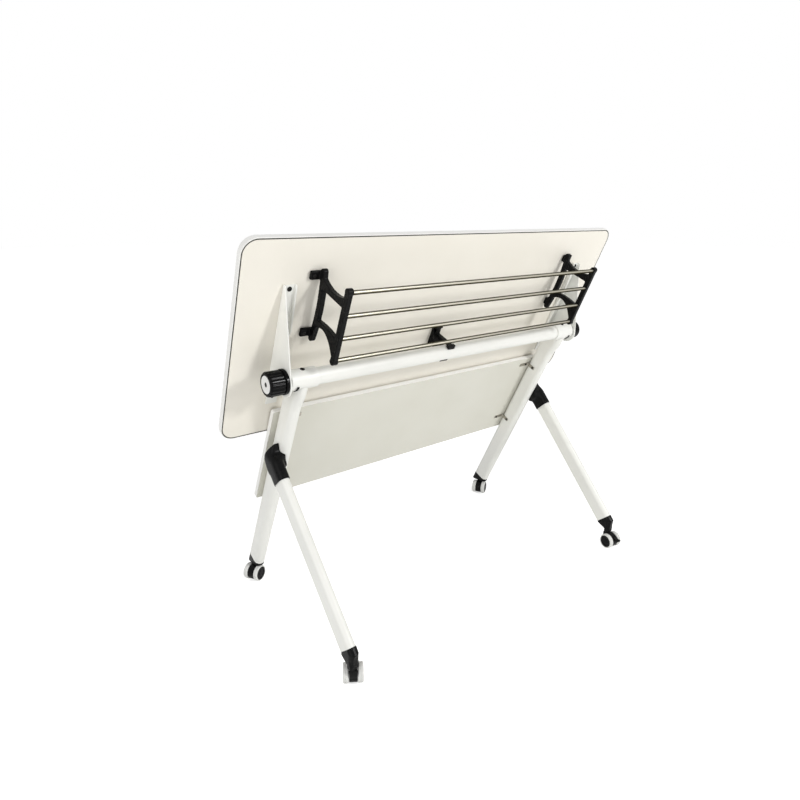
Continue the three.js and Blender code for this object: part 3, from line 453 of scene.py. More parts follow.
        self.through(fit)
        for tool in tools:
            bpy.data.meshes.remove(tool.data)
        bmesh.ops.dissolve_degenerate(self.bm, dist=1e-4, edges=self.bm.edges)
        return self

    def moulded(self, voxel: float, passes: int) -> "Stock":
        """Melts the solid into one skin with soft corners, as a moulding has.

        Args:
            voxel: The size of the new mesh's faces.
            passes: How many times the corners are eased.

        Returns:
            The same solid.
        """
        def fit(bench: bpy.types.Object) -> None:
            """Adds the remesh."""
            modifier = bench.modifiers.new("skin", "REMESH")
            modifier.mode = "VOXEL"
            modifier.voxel_size = voxel

        self.through(fit)
        for _ in range(passes):
            bmesh.ops.smooth_vert(self.bm, verts=self.bm.verts, factor=0.5, use_axis_x=True,
                                  use_axis_y=True, use_axis_z=True)
        return self

    def as_object(self, name: str) -> bpy.types.Object:
        """Makes a plain object of the solid.

        Args:
            name: The object's name.

        Returns:
            The object, in the scene.
        """
        mesh = bpy.data.meshes.new(name)
        self.bm.to_mesh(mesh)
        made = bpy.data.objects.new(name, mesh)
        bpy.context.scene.collection.objects.link(made)
        return made

    def through(self, fit: Callable[[bpy.types.Object], None]) -> None:
        """Puts the solid through modifiers.

        Args:
            fit: Adds the modifiers to the object it is given.
        """
        bench = self.as_object("bench")
        fit(bench)
        shaped = bench.evaluated_get(bpy.context.evaluated_depsgraph_get())
        mesh = bpy.data.meshes.new_from_object(shaped)
        self.bm.clear()
        self.bm.from_mesh(mesh)
        bpy.data.meshes.remove(mesh)
        bpy.data.meshes.remove(bench.data)


class NodeBench:
    """Lays out and joins the shader nodes of one material."""

    def __init__(self, name: str) -> None:
        """Starts a material with one principled shader."""
        self.material = bpy.data.materials.new(name)
        self.material.use_nodes = True
        self.tree = self.material.node_tree
        self.shader = self.tree.nodes["Principled BSDF"]
        places = self.tree.nodes.new("ShaderNodeTexCoord")
        self.object_space = places.outputs["Object"]
        self.surface_way = places.outputs["Normal"]

    def add(self, kind: str, **settings: object) -> bpy.types.Node:
        """Adds a node and sets its properties."""
        node = self.tree.nodes.new(kind)
        for name, value in settings.items():
            setattr(node, name, value)
        return node

    def link(self, source: bpy.types.NodeSocket, target: bpy.types.NodeSocket) -> None:
        """Joins two sockets."""
        self.tree.links.new(source, target)

    def noise(self, size: Sequence[float], detail: float = 2.0) -> bpy.types.NodeSocket:
        """Lays noise over the piece.

        Args:
            size: The length of its features along X, Y and Z, in millimetres.
            detail: How many finer layers it has.

        Returns:
            The noise's value, around a half.
        """
        mapping = self.add("ShaderNodeMapping")
        mapping.inputs["Scale"].default_value = [1 / (length * MM) for length in size]
        self.link(self.object_space, mapping.inputs["Vector"])
        noise = self.add("ShaderNodeTexNoise")
        noise.inputs["Scale"].default_value = 1.0
        noise.inputs["Detail"].default_value = detail
        self.link(mapping.outputs["Vector"], noise.inputs["Vector"])
        return noise.outputs["Fac"]

    def swing(self, value: bpy.types.NodeSocket, low: float, high: float) -> bpy.types.NodeSocket:
        """Stretches noise between two values.

        Args:
            value: The noise.
            low: The value at its low end.
            high: The value at its high end.

        Returns:
            The stretched value.
        """
        reach = self.add("ShaderNodeMapRange")
        reach.inputs["From Min"].default_value = 0.3
        reach.inputs["From Max"].default_value = 0.7
        reach.inputs["To Min"].default_value = low
        reach.inputs["To Max"].default_value = high
        self.link(value, reach.inputs["Value"])
        return reach.outputs["Result"]

    def blend(self, share: bpy.types.NodeSocket, first: Colour | bpy.types.NodeSocket,
              second: Colour) -> bpy.types.NodeSocket:
        """Blends two colours.

        Args:
            share: How much of the second colour shows.
            first: The first colour, or the socket that gives it.
            second: The second colour.

        Returns:
            The blended colour.
        """
        mix = self.add("ShaderNodeMix", data_type="RGBA")
        colour_inputs = [socket for socket in mix.inputs if socket.type == "RGBA"]
        if isinstance(first, bpy.types.NodeSocket):
            self.link(first, colour_inputs[0])
        else:
            colour_inputs[0].default_value = (*first, 1.0)
        colour_inputs[1].default_value = (*second, 1.0)
        self.link(share, mix.inputs["Factor"])
        return next(socket for socket in mix.outputs if socket.type == "RGBA")

    def bump(self, *layers: tuple[bpy.types.NodeSocket, float]) -> None:
        """Raises the surface by layers of noise, each with its depth in millimetres."""
        below = None
        for height, depth in layers:
            bump = self.add("ShaderNodeBump")
            bump.inputs["Strength"].default_value = 1.0
            bump.inputs["Distance"].default_value = depth * MM
            self.link(height, bump.inputs["Height"])
            if below is not None:
                self.link(below, bump.inputs["Normal"])
            below = bump.outputs["Normal"]
        self.link(below, self.shader.inputs["Normal"])


@dataclass(frozen=True)
class Coating:
    """A paint, laminate or moulded skin: clouded colour, uneven sheen and a fine grain.

    The sizes and depths of cloud, grain and waviness are in millimetres.
    """

    name: str
    colour: Colour
    cloud_colour: Colour
    roughness: tuple[float, float]
    cloud: float = 40.0
    grain: float = 0.8
    grain_depth: float = 0.01
    wave: float = 6.0
    wave_depth: float = 0.01
    specular: float = 0.5
    coat: float = 0.0

    def material(self) -> bpy.types.Material:
        """Gives the finish's material, made once."""
        made = bpy.data.materials.get(self.name)
        return made if made else self.mixed()

    def mixed(self) -> bpy.types.Material:
        """Lays out the nodes.

        Returns:
            The new material.
        """
        bench = NodeBench(self.name)
        inputs = bench.shader.inputs
        clouds = bench.swing(bench.noise((self.cloud,) * 3, 4.0), 0.0, 1.0)
        bench.link(bench.blend(clouds, self.colour, self.cloud_colour), inputs["Base Color"])
        patches = bench.noise((self.cloud / 3,) * 3, 5.0)
        bench.link(bench.swing(patches, *self.roughness), inputs["Roughness"])
        inputs["Specular IOR Level"].default_value = self.specular
        inputs["Coat Weight"].default_value = self.coat
        inputs["Coat Roughness"].default_value = 0.15
        bench.bump((bench.noise((self.wave,) * 3, 1.0), self.wave_depth),
                   (bench.noise((self.grain,) * 3, 2.0), self.grain_depth))
        return bench.material


@dataclass(frozen=True)
class DrawnSteel:
    """Bare or plated steel with fine streaks along X, in millimetres."""

    name: str
    colour: Colour
    streak_colour: Colour
    edge_tint: Colour
    roughness: tuple[float, float]
    streak: tuple[float, float] = (60.0, 0.5)
    streak_depth: float = 0.006
    # painted shade: a colour laid over the underside and crown by which way the surface faces, standing in
    # for dark reflections
    tarnish: Colour | None = None

    def material(self) -> bpy.types.Material:
        """Gives the finish's material, made once."""
        made = bpy.data.materials.get(self.name)
        return made if made else self.mixed()

    def mixed(self) -> bpy.types.Material:
        """Lays out the nodes.

        Returns:
            The new material.
        """
        bench = NodeBench(self.name)
        inputs = bench.shader.inputs
        inputs["Metallic"].default_value = 1.0
        inputs["Specular Tint"].default_value = (*self.edge_tint, 1.0)
        long, fine = self.streak
        streaks = bench.noise((long, fine, fine), 3.0)
        colour = bench.blend(bench.swing(streaks, 0.0, 1.0), self.colour, self.streak_colour)
        # painted shade, laid on by the way the surface faces
        if self.tarnish:
            colour = self.tarnished(bench, colour)
        bench.link(colour, inputs["Base Color"])
        bench.link(bench.swing(bench.noise((long / 2, fine * 2, fine * 2), 4.0), *self.roughness),
                   inputs["Roughness"])
        bench.bump((streaks, self.streak_depth))
        return bench.material

    def tarnished(self, bench: NodeBench, colour: bpy.types.NodeSocket) -> bpy.types.NodeSocket:
        """Paints shade onto the steel by which way its surface faces: dark along its underside, and more
        thinly along its crown, where a rod's reflections run dark.

        Args:
            bench: The material's nodes.
            colour: The clean steel's colour.

        Returns:
            The colour with the painted shade over it.
        """
        across = bench.add("ShaderNodeSeparateXYZ")
        bench.link(bench.surface_way, across.inputs[0])
        # painted shade: all of it on faces turned down, and most of it on faces turned up
        for start, end, most in ((0.05, -0.35, 1.0), (0.4, 0.8, 0.8)):
            share = bench.add("ShaderNodeMapRange", interpolation_type="SMOOTHSTEP")
            for name, value in (("From Min", start), ("From Max", end), ("To Max", most)):
                share.inputs[name].default_value = value
            bench.link(across.outputs["Z"], share.inputs["Value"])
            colour = bench.blend(share.outputs["Result"], colour, self.tarnish)
        return colour


Finish = Coating | DrawnSteel

POWDER_COAT = Coating("powder_coat", (0.84, 0.84, 0.80), (0.80, 0.80, 0.76), (0.34, 0.44),
                      cloud=120.0, grain=0.7, grain_depth=0.012, wave=5.0, wave_depth=0.02)
CREAM_LAMINATE = Coating("cream_laminate", (0.845, 0.81, 0.73), (0.815, 0.78, 0.695), (0.42, 0.54),
                         cloud=160.0, grain=0.5, grain_depth=0.008, wave=3.0, wave_depth=0.006)
PANEL_LAMINATE = Coating("panel_laminate", (0.68, 0.67, 0.60), (0.655, 0.645, 0.57), (0.42, 0.54),
                         cloud=140.0, grain=0.5, grain_depth=0.008, wave=3.0, wave_depth=0.006)
EDGE_BAND = Coating("edge_band", (0.86, 0.855, 0.83), (0.83, 0.825, 0.80), (0.28, 0.38),
                    cloud=90.0, grain=0.9, grain_depth=0.006, wave=8.0, wave_depth=0.01)
DARK_INLAY = Coating("dark_inlay", (0.02, 0.02, 0.015), (0.03, 0.03, 0.022), (0.5, 0.65),
                     cloud=30.0, grain=0.6, grain_depth=0.01)
MOULDED_NYLON = Coating("moulded_nylon", (0.004, 0.004, 0.0042), (0.007, 0.007, 0.007), (0.24, 0.36),
                        cloud=25.0, grain=0.45, grain_depth=0.014, wave=6.0, wave_depth=0.02, specular=0.07)
GLOSS_NYLON = Coating("gloss_nylon", (0.002, 0.002, 0.0022), (0.003, 0.003, 0.003), (0.07, 0.11),
                      cloud=20.0, grain=0.6, grain_depth=0.003, wave=7.0, wave_depth=0.01, specular=0.07)
WHITE_MOULDING = Coating("white_moulding", (0.80, 0.80, 0.785), (0.76, 0.76, 0.74), (0.30, 0.42),
                         cloud=15.0, grain=0.5, grain_depth=0.01)
WHITE_TREAD = Coating("white_tread", (0.77, 0.77, 0.75), (0.66, 0.66, 0.635), (0.45, 0.62),
                      cloud=9.0, grain=0.6, grain_depth=0.02)
BLACK_OXIDE = Coating("black_oxide", (0.006, 0.006, 0.006), (0.012, 0.011, 0.010), (0.3, 0.44),
                      cloud=4.0, grain=0.4, grain_depth=0.01, specular=0.15)
# the rods' steel carries painted shade along its underside and crown
SATIN_STEEL = DrawnSteel("satin_steel", (0.47, 0.45, 0.38), (0.38, 0.36, 0.30), (0.15, 0.14, 0.1),
                         (0.34, 0.44), tarnish=(0.06, 0.053, 0.033))
BRONZED_ZINC = DrawnSteel("bronzed_zinc", (0.46, 0.44, 0.39), (0.34, 0.32, 0.28), (0.6, 0.58, 0.5),
                          (0.32, 0.46), streak=(18.0, 0.8))
PLATED_STEEL = DrawnSteel("plated_steel", (0.50, 0.49, 0.47), (0.40, 0.39, 0.37), (0.7, 0.7, 0.68),
                          (0.25, 0.4), streak=(10.0, 0.6))


def joint(name: str) -> dict:
    """Finds a packed joint by its name."""
    return next(row for row in frame["joints"] if row["name"] == name)


def reach(node: str) -> tuple[float, float]:
    """Tells where a CAD node starts and ends along X, in millimetres."""
    low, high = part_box(node)
    return low.x / MM, high.x / MM


@dataclass(frozen=True)
class Stance:
    """How the legs stand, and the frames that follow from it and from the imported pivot."""

    main_lean: float = 25.8
    setback: float = 16.0
    joint_drop: float = 227.0
    front_lean: float = 41.1

    @property
    def pivot(self) -> Matrix:
        """The pivot axis, level."""
        return Matrix.Translation(Vector(joint("top_flip")["pos_m"]) / MM)

    @property
    def top(self) -> Matrix:
        """The tipped-up top, drawn level about the pivot."""
        tip_up = max(joint("top_flip")["range_deg"])
        return self.pivot @ Matrix.Rotation(math.radians(-tip_up), 4, "X")

    @property
    def main_leg(self) -> Matrix:
        """The main legs' own axis, downwards from the pivot's height."""
        lean = Matrix.Rotation(math.radians(self.main_lean), 4, "X")
        return self.pivot @ Matrix.Translation((0, self.setback, 0)) @ lean

    @property
    def front_leg(self) -> Matrix:
        """The front legs' axis, downwards from the leg joints."""
        start = self.main_leg @ Vector((0, 0, -self.joint_drop))
        return Matrix.Translation(start) @ Matrix.Rotation(math.radians(-self.front_lean), 4, "X")

    def caster(self, corner: Corner) -> Matrix:
        """A caster, drawn trailing along +Y from its stem."""
        stem = Vector(joint(f"swivel_{corner.label}")["pos_m"]) / MM
        along = joint(f"spin_{corner.label}_left")["axis"]
        heading = math.atan2(along[1], along[0])
        return Matrix.Translation((stem.x, stem.y, 0)) @ Matrix.Rotation(heading, 4, "Z")


def set_out(name: str, stock: Stock, place: Matrix, finish: Finish, body: str,
            stands_for: Sequence[str] = (), sharp: float = 38.0) -> bpy.types.Object:
    """Makes a finished piece of a solid, riding on the frame.

    Args:
        name: The piece's name.
        stock: Its solid, in millimetres.
        place: The frame that the solid is drawn in.
        finish: Its finish.
        body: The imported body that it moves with.
        stands_for: The CAD nodes that it replaces.
        sharp: The angle, in degrees, past which an edge stays crisp.

    Returns:
        The piece.
    """
    stock.moved(Matrix.Scale(MM, 4) @ place)
    piece = stock.as_object(name)
    for face in piece.data.polygons:
        face.use_smooth = True
    piece.data.set_sharp_from_angle(angle=math.radians(sharp))
    even = piece.modifiers.new("even_normals", "WEIGHTED_NORMAL")
    even.keep_sharp = True
    piece.data.materials.append(finish.material())
    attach(piece, body)
    if stands_for:
        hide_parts(*stands_for)
    LOG.info("%s: %d faces, on %s", name, len(piece.data.polygons), body)
    return piece


def pan_screw(radius: float, height: float) -> Stock:
    """Turns a domed screw head with a hexagon socket, standing on Z = 0.

    Args:
        radius: The head's radius.
        height: Its height.

    Returns:
        The head.
    """
    profile = Outline((0, 0), (0, radius), (height * 0.25, radius))
    profile.bend((height, radius * 0.92), (height, radius * 0.55), 6).to(height, 0)
    head = Stock.turned(profile, Axis.Z, 24)
    return head.minus(Stock.rod(radius * 0.4, (height * 0.45, height * 2), Axis.Z, sides=6))


def level_at(stops: Sequence[tuple[float, float]], place: float) -> float:
    """Reads a value between stops, each a place and its value, held level beyond the ends.

    Args:
        stops: The stops, in rising order of place.
        place: Where to read.

    Returns:
        The value there.
    """
    if place <= stops[0][0]:
        return stops[0][1]
    for (start, first), (end, last) in zip(stops, stops[1:]):
        if place <= end:
            return first + (last - first) * (place - start) / (end - start)
    return stops[-1][1]


def facing(direction: Vector, at: Vector) -> Matrix:
    """Gives the frame whose Z points in a direction, at a place."""
    return Matrix.Translation(at) @ Vector(direction).to_track_quat("Z", "Y").to_matrix().to_4x4()


@dataclass
class TableTop:
    """The board, its edge band and the dark joint line round the underside."""

    stance: Stance
    length: float = 1200.0
    width: float = 500.0
    thickness: float = 18.0
    corner: float = 36.0
    underside: float = 66.0
    front_edge: float = 302.0
    band: float = 1.6
    band_round: float = 0.8
    far_round: float = 6.0
    ledge: float = 5.0
    inlay: float = 2.8
    rebate: float = 1.6
    inlay_sink: float = 0.3
    fit: float = 0.05

    def outline(self, inset: float) -> Outline:
        """Draws the top's plan, drawn in from its edge."""
        half = self.length / 2 - inset
        front = -self.front_edge + inset
        rear = self.width - self.front_edge - inset
        return Outline.rounded((-half, front), (half, rear), self.corner - inset, 20)

    def build_board(self) -> Stock:
        """Makes the board, with a rebate round its underside for the joint line.

        Returns:
            The board.
        """
        seat = self.underside + self.rebate
        ledge = self.underside + self.ledge
        board = Stock.prism(self.outline(self.band + self.fit), (seat, ledge), Axis.Z)
        field = min(board.bm.faces, key=lambda face: face.calc_center_median().z)
        bmesh.ops.inset_region(board.bm, faces=[field], thickness=self.inlay, use_even_offset=True)
        board.raise_face(field, Vector((0, 0, -self.rebate)))
        upper = Stock.prism(self.outline(self.far_round + 1 + self.fit),
                            (ledge + self.fit, self.underside + self.thickness), Axis.Z)
        return board.closed().soften(0.4, 2, 60).beside(upper.soften(0.4, 2, 60))

    def build_band(self) -> Stock:
        """Makes the band, with a soft round on the edge of the working face.

        Returns:
            The band.
        """
        far = self.underside + self.thickness
        ledge = self.underside + self.ledge
        whole = Stock.prism(self.outline(0), (self.underside, far), Axis.Z)
        whole.soften(self.band_round, 3, 60, lambda point: point.z < ledge)
        whole.soften(self.far_round, 6, 60, lambda point: point.z > ledge)
        board = Stock.prism(self.outline(self.band), (self.underside - 1, ledge + self.fit), Axis.Z)
        core = Stock.prism(self.outline(self.far_round + 1), (ledge - 1, far + 1), Axis.Z)
        return whole.minus(board, core)

    def build_inlay(self) -> Stock:
        """Makes the joint line, a little below the underside."""
        span = (self.underside + self.inlay_sink, self.underside + self.rebate - self.fit)
        return Stock.ring(self.outline(self.band + 2 * self.fit), self.inlay - 3 * self.fit, span, Axis.Z)

    def dress(self) -> None:
        """Sets out the top's pieces."""
        place = self.stance.top
        set_out("top_board", self.build_board(), place, CREAM_LAMINATE, "top", ["table_top"])
        set_out("top_edge_band", self.build_band(), place, EDGE_BAND, "top", ["edge_band"])
        set_out("top_joint_line", self.build_inlay(), place, DARK_INLAY, "top")


@dataclass
class PivotLine:
    """The beam, its collars, the clamp knob and the plain end cap."""

    stance: Stance
    beam_radius: float = 20.0
    beam_wall: float = 2.0
    # painted shade: the black piece in the slot darkens the gap at the beam's lower edge
    plug_share: float = 0.46
    plug_lip: float = 1.6
    slot_size: tuple[float, float] = (26.0, 5.0)
    slot_turn: float = 30.0
    slot_station: float = -41.0
    collar_radius: float = 23.5
    collar_round: float = 1.4
    collar_end_wall: float = 8.0
    screw_radius: float = 5.5
    screw_turn: float = 15.0
    screw_seat: float = 20.3
    screw_length: float = 4.0
    washer_radius: float = 21.0
    # painted shadow: the black crescent under each collar stands in for the shadow gap there
    saddle: tuple[float, float] = (24.0, 25.8)
    saddle_turn: tuple[float, float] = (208.0, 264.0)
    saddle_width: float = 6.0
    bolt_radius: float = 6.3
    ring_radius: float = 29.0
    ring_length: float = 8.0
    ring_round: float = 1.6
    groove_radius: float = 25.5
    groove_length: float = 1.5
    grip_radius: float = 28.0
    grip_length: float = 35.0
    grip_round: float = 5.0
    flutes: int = 16
    flute_depth: float = 1.4
    face_radius: float = 20.0
    face_depth: float = 4.0
    face_round: float = 1.0
    face_dish: float = 0.6
    hex_radius: float = 6.0
    cap_radius: float = 27.0
    cap_length: float = 26.0
    cap_chamfer: float = 4.0
    fit: float = 0.2

    def build_beam(self) -> Stock:
        """Makes the beam, with the slot low in its front.

        Returns:
            The beam.
        """
        tube = Stock.ring(Outline.circle(self.beam_radius, sides=96), self.beam_wall, reach("beam"), Axis.X)
        length, width = self.slot_size
        slot = Stock.prism(
            Outline.rounded((self.slot_station - length / 2, -width / 2),
                            (self.slot_station + length / 2, width / 2), width * 0.45, 8),
            (-2 * self.beam_radius, 0), Axis.Z)
        return tube.minus(slot.moved(Matrix.Rotation(math.radians(-self.slot_turn), 4, "X")))

    def build_plug(self) -> Stock:
        """Makes the black piece in the beam's slot, with a lip that stands a little proud of the beam's lower
        edge: painted shade for the dark gap there.

        Returns:
            The black piece.
        """
        length, width = self.slot_size
        top = -self.beam_radius + self.beam_wall
        slot_shade_block = Stock.block((self.slot_station - 0.7 * length, self.slot_station + 0.7 * length),
                           (-0.7 * width, 0.7 * width), (top + 0.6, top + 3)).soften(0.5, 2)
        lip = Stock.block((self.slot_station - 0.48 * length, self.slot_station + 0.48 * length),
                          (-self.plug_share * width, self.plug_share * width),
                          (-self.beam_radius - self.plug_lip, top + 1)).soften(0.5, 2)
        slot_shade_block.plus(lip)
        return slot_shade_block.moved(Matrix.Rotation(math.radians(-self.slot_turn), 4, "X"))

    def build_collar(self, side: Side) -> Stock:
        """Makes a collar: a cup over the beam's end, with a grub screw's hole.

        Args:
            side: Which end.

        Returns:
            The collar.
        """
        low, high = reach(side.named("collar"))
        body = Stock.rod(self.collar_radius, (low, high), sides=96).soften(self.collar_round, 4)
        inner, outer = sorted((abs(low), abs(high)))
        socket = Stock.rod(self.beam_radius + self.fit, side.span(inner - 1, outer - self.collar_end_wall),
                           sides=96)
        screw_x = sum(reach(side.named("collar_screw"))) / 2
        hole = Stock.rod(self.screw_radius + self.fit, (0, 2 * self.collar_radius), Axis.Z, (screw_x, 0), 32)
        return body.minus(socket, hole.moved(self.screw_tilt()))

    def screw_tilt(self) -> Matrix:
        """Turns a collar's grub screw from the crown towards the user."""
        return Matrix.Rotation(math.radians(self.screw_turn), 4, "X")

    def build_saddle(self, side: Side) -> Stock:
        """Makes the black crescent under a collar, beside the leg's head: a dark piece that paints the shadow
        gap between collar and leg.

        Args:
            side: Which end.

        Returns:
            The saddle.
        """
        inner, outer = self.saddle
        start, end = self.saddle_turn
        shape = Outline().arc((0, 0), outer, start, end, 20).arc((0, 0), inner, end, start, 20)
        near = max(abs(edge) for edge in reach(side.named("main_leg"))) + 2
        return Stock.prism(shape, side.span(near, near + self.saddle_width), Axis.X).soften(1.2, 3, 30)

    def build_screw(self, side: Side) -> Stock:
        """Makes a collar's grub screw, with its hexagon socket.

        Args:
            side: Which end.

        Returns:
            The screw.
        """
        x = sum(reach(side.named("collar_screw"))) / 2
        top = self.screw_seat + self.screw_length
        screw = Stock.rod(self.screw_radius, (self.screw_seat, top), Axis.Z, (x, 0), 32).soften(0.5, 3)
        screw.minus(Stock.rod(self.screw_radius * 0.5, (top - 2, top + 1), Axis.Z, (x, 0), 6))
        return screw.moved(self.screw_tilt())

    def build_washer(self, side: Side) -> Stock:
        """Makes a nylon washer between collar and arm."""
        outline = Outline.circle(self.washer_radius, sides=72)
        wall = self.washer_radius - self.bolt_radius
        return Stock.ring(outline, wall, reach(side.named("pivot_washer")), Axis.X).soften(0.5, 2)

    def knob_length(self) -> float:
        """Adds up the knob's ring, groove and grip."""
        return self.ring_length + self.groove_length + self.grip_length

    def build_knob(self) -> Stock:
        """Makes the clamp knob, from its seat outwards along X, with flutes round the grip.

        Returns:
            The knob.
        """
        soft = self.ring_round
        ring_in = self.ring_radius - soft
        grip_start = self.ring_length + self.groove_length
        end = self.knob_length()
        lip = self.grip_radius - self.grip_round
        floor = end - self.face_depth - self.fit
        pocket = self.face_radius + self.fit
        profile = Outline((0, 0)).arc((soft, ring_in), soft, 180, 90, 6)
        profile.arc((self.ring_length - soft, ring_in), soft, 90, 0, 6)
        profile.to(self.ring_length, self.groove_radius).to(grip_start, self.groove_radius)
        profile.arc((grip_start + soft, self.grip_radius - soft), soft, 180, 90, 6)
        profile.arc((end - self.grip_round, lip), self.grip_round, 90, 0, 10)
        profile.to(end, pocket).to(floor, pocket).to(floor, 0)

        def flute(point: Vector) -> Vector:
            """Draws in the grip between its ribs, less towards its rounded end."""
            across = math.hypot(point.y, point.z)
            if point.x < grip_start + soft - self.fit or across <= lip + self.fit:
                return point
            turn = math.atan2(point.z, point.y)
            share = (across - lip) / self.grip_round
            draw = self.flute_depth * share * ((1 - math.cos(self.flutes * turn)) / 2) ** 3
            scale = (across - draw) / across
            return Vector((point.x, point.y * scale, point.z * scale))

        return Stock.turned(profile, steps=self.flutes * 10).shaped(flute)

    def build_face(self) -> Stock:
        """Makes the knob's white face, slightly dished, with a hexagon hole.

        Returns:
            The face.
        """
        end = self.knob_length()
        start = end - self.face_depth
        soft = self.face_round
        rim = self.face_radius - soft
        profile = Outline((start, 0), (start, self.face_radius)).arc((end - soft, rim), soft, 90, 0, 6)
        profile.to(end, rim - soft).bend((end - self.face_dish, rim - 2 * soft),
                                         (end - self.face_dish, rim - 4 * soft), 6)
        profile.to(end - self.face_dish, 0)
        face = Stock.turned(profile)
        return face.minus(Stock.rod(self.hex_radius, (start - 1, end + 1), sides=6))

    def build_socket(self) -> Stock:
        """Makes the black insert that fills the face's hexagon hole."""
        end = self.knob_length()
        span = (end - self.face_depth + self.fit, end - self.face_dish - self.fit)
        return Stock.rod(self.hex_radius - self.fit, span, sides=6).soften(0.4, 2)

    def build_cap(self) -> Stock:
        """Makes the plain end cap, from its seat outwards along X.

        Returns:
            The cap.
        """
        shoulder = self.cap_length - self.cap_chamfer
        profile = Outline((0, 0), (0, self.cap_radius), (shoulder, self.cap_radius),
                          (self.cap_length, self.cap_radius - self.cap_chamfer), (self.cap_length, 0))
        return Stock.turned(profile).soften(0.9, 3, 30)

    def dress(self) -> None:
        """Sets out the pivot line's pieces."""
        pivot = self.stance.pivot
        set_out("beam_tube", self.build_beam(), pivot, POWDER_COAT, "frame", ["beam"])
        # painted shade: a black piece in the slot, proud of the beam's lower edge
        set_out("beam_slot_shade", self.build_plug(), pivot, MOULDED_NYLON, "frame")
        for side in Side:
            for name, stock, finish, slot in (
                    ("collar", self.build_collar(side), POWDER_COAT, "white_paint"),
                    ("collar_screw", self.build_screw(side), BLACK_OXIDE, "fastener_steel"),
                    ("pivot_washer", self.build_washer(side), MOULDED_NYLON, "black_plastic")):
                node = side.named(name)
                set_out(f"{node}_piece", stock, pivot, finish, "frame", [node])
            # painted shadow: a black crescent where the gap under the collar falls in shade
            set_out(side.named("collar_shade_crescent"), self.build_saddle(side), pivot, MOULDED_NYLON, "frame")
            fasten(side.named("pivot_bolt"), BLACK_OXIDE)
        turned_round = Matrix.Rotation(math.pi, 4, "Z")
        knob_place = pivot @ Matrix.Translation((reach("knob")[1], 0, 0)) @ turned_round
        set_out("knob_grip", self.build_knob(), knob_place, GLOSS_NYLON, "knob", ["knob"])
        set_out("knob_disc", self.build_face(), knob_place, WHITE_MOULDING, "knob",
                ["knob_face"])
        set_out("knob_socket", self.build_socket(), knob_place, BLACK_OXIDE, "knob")
        cap_place = pivot @ Matrix.Translation((reach("end_cap")[0], 0, 0))
        set_out("pivot_end_cap", self.build_cap(), cap_place, GLOSS_NYLON, "frame",
                ["end_cap"])


def fasten(node: str, finish: Finish) -> None:
    """Gives a CAD node that stays its own finish."""
    carried = frame["nodes"][node]
    carried.data.materials.clear()
    carried.data.materials.append(finish.material())
    LOG.info("%s: kept, %s", node, finish.name)


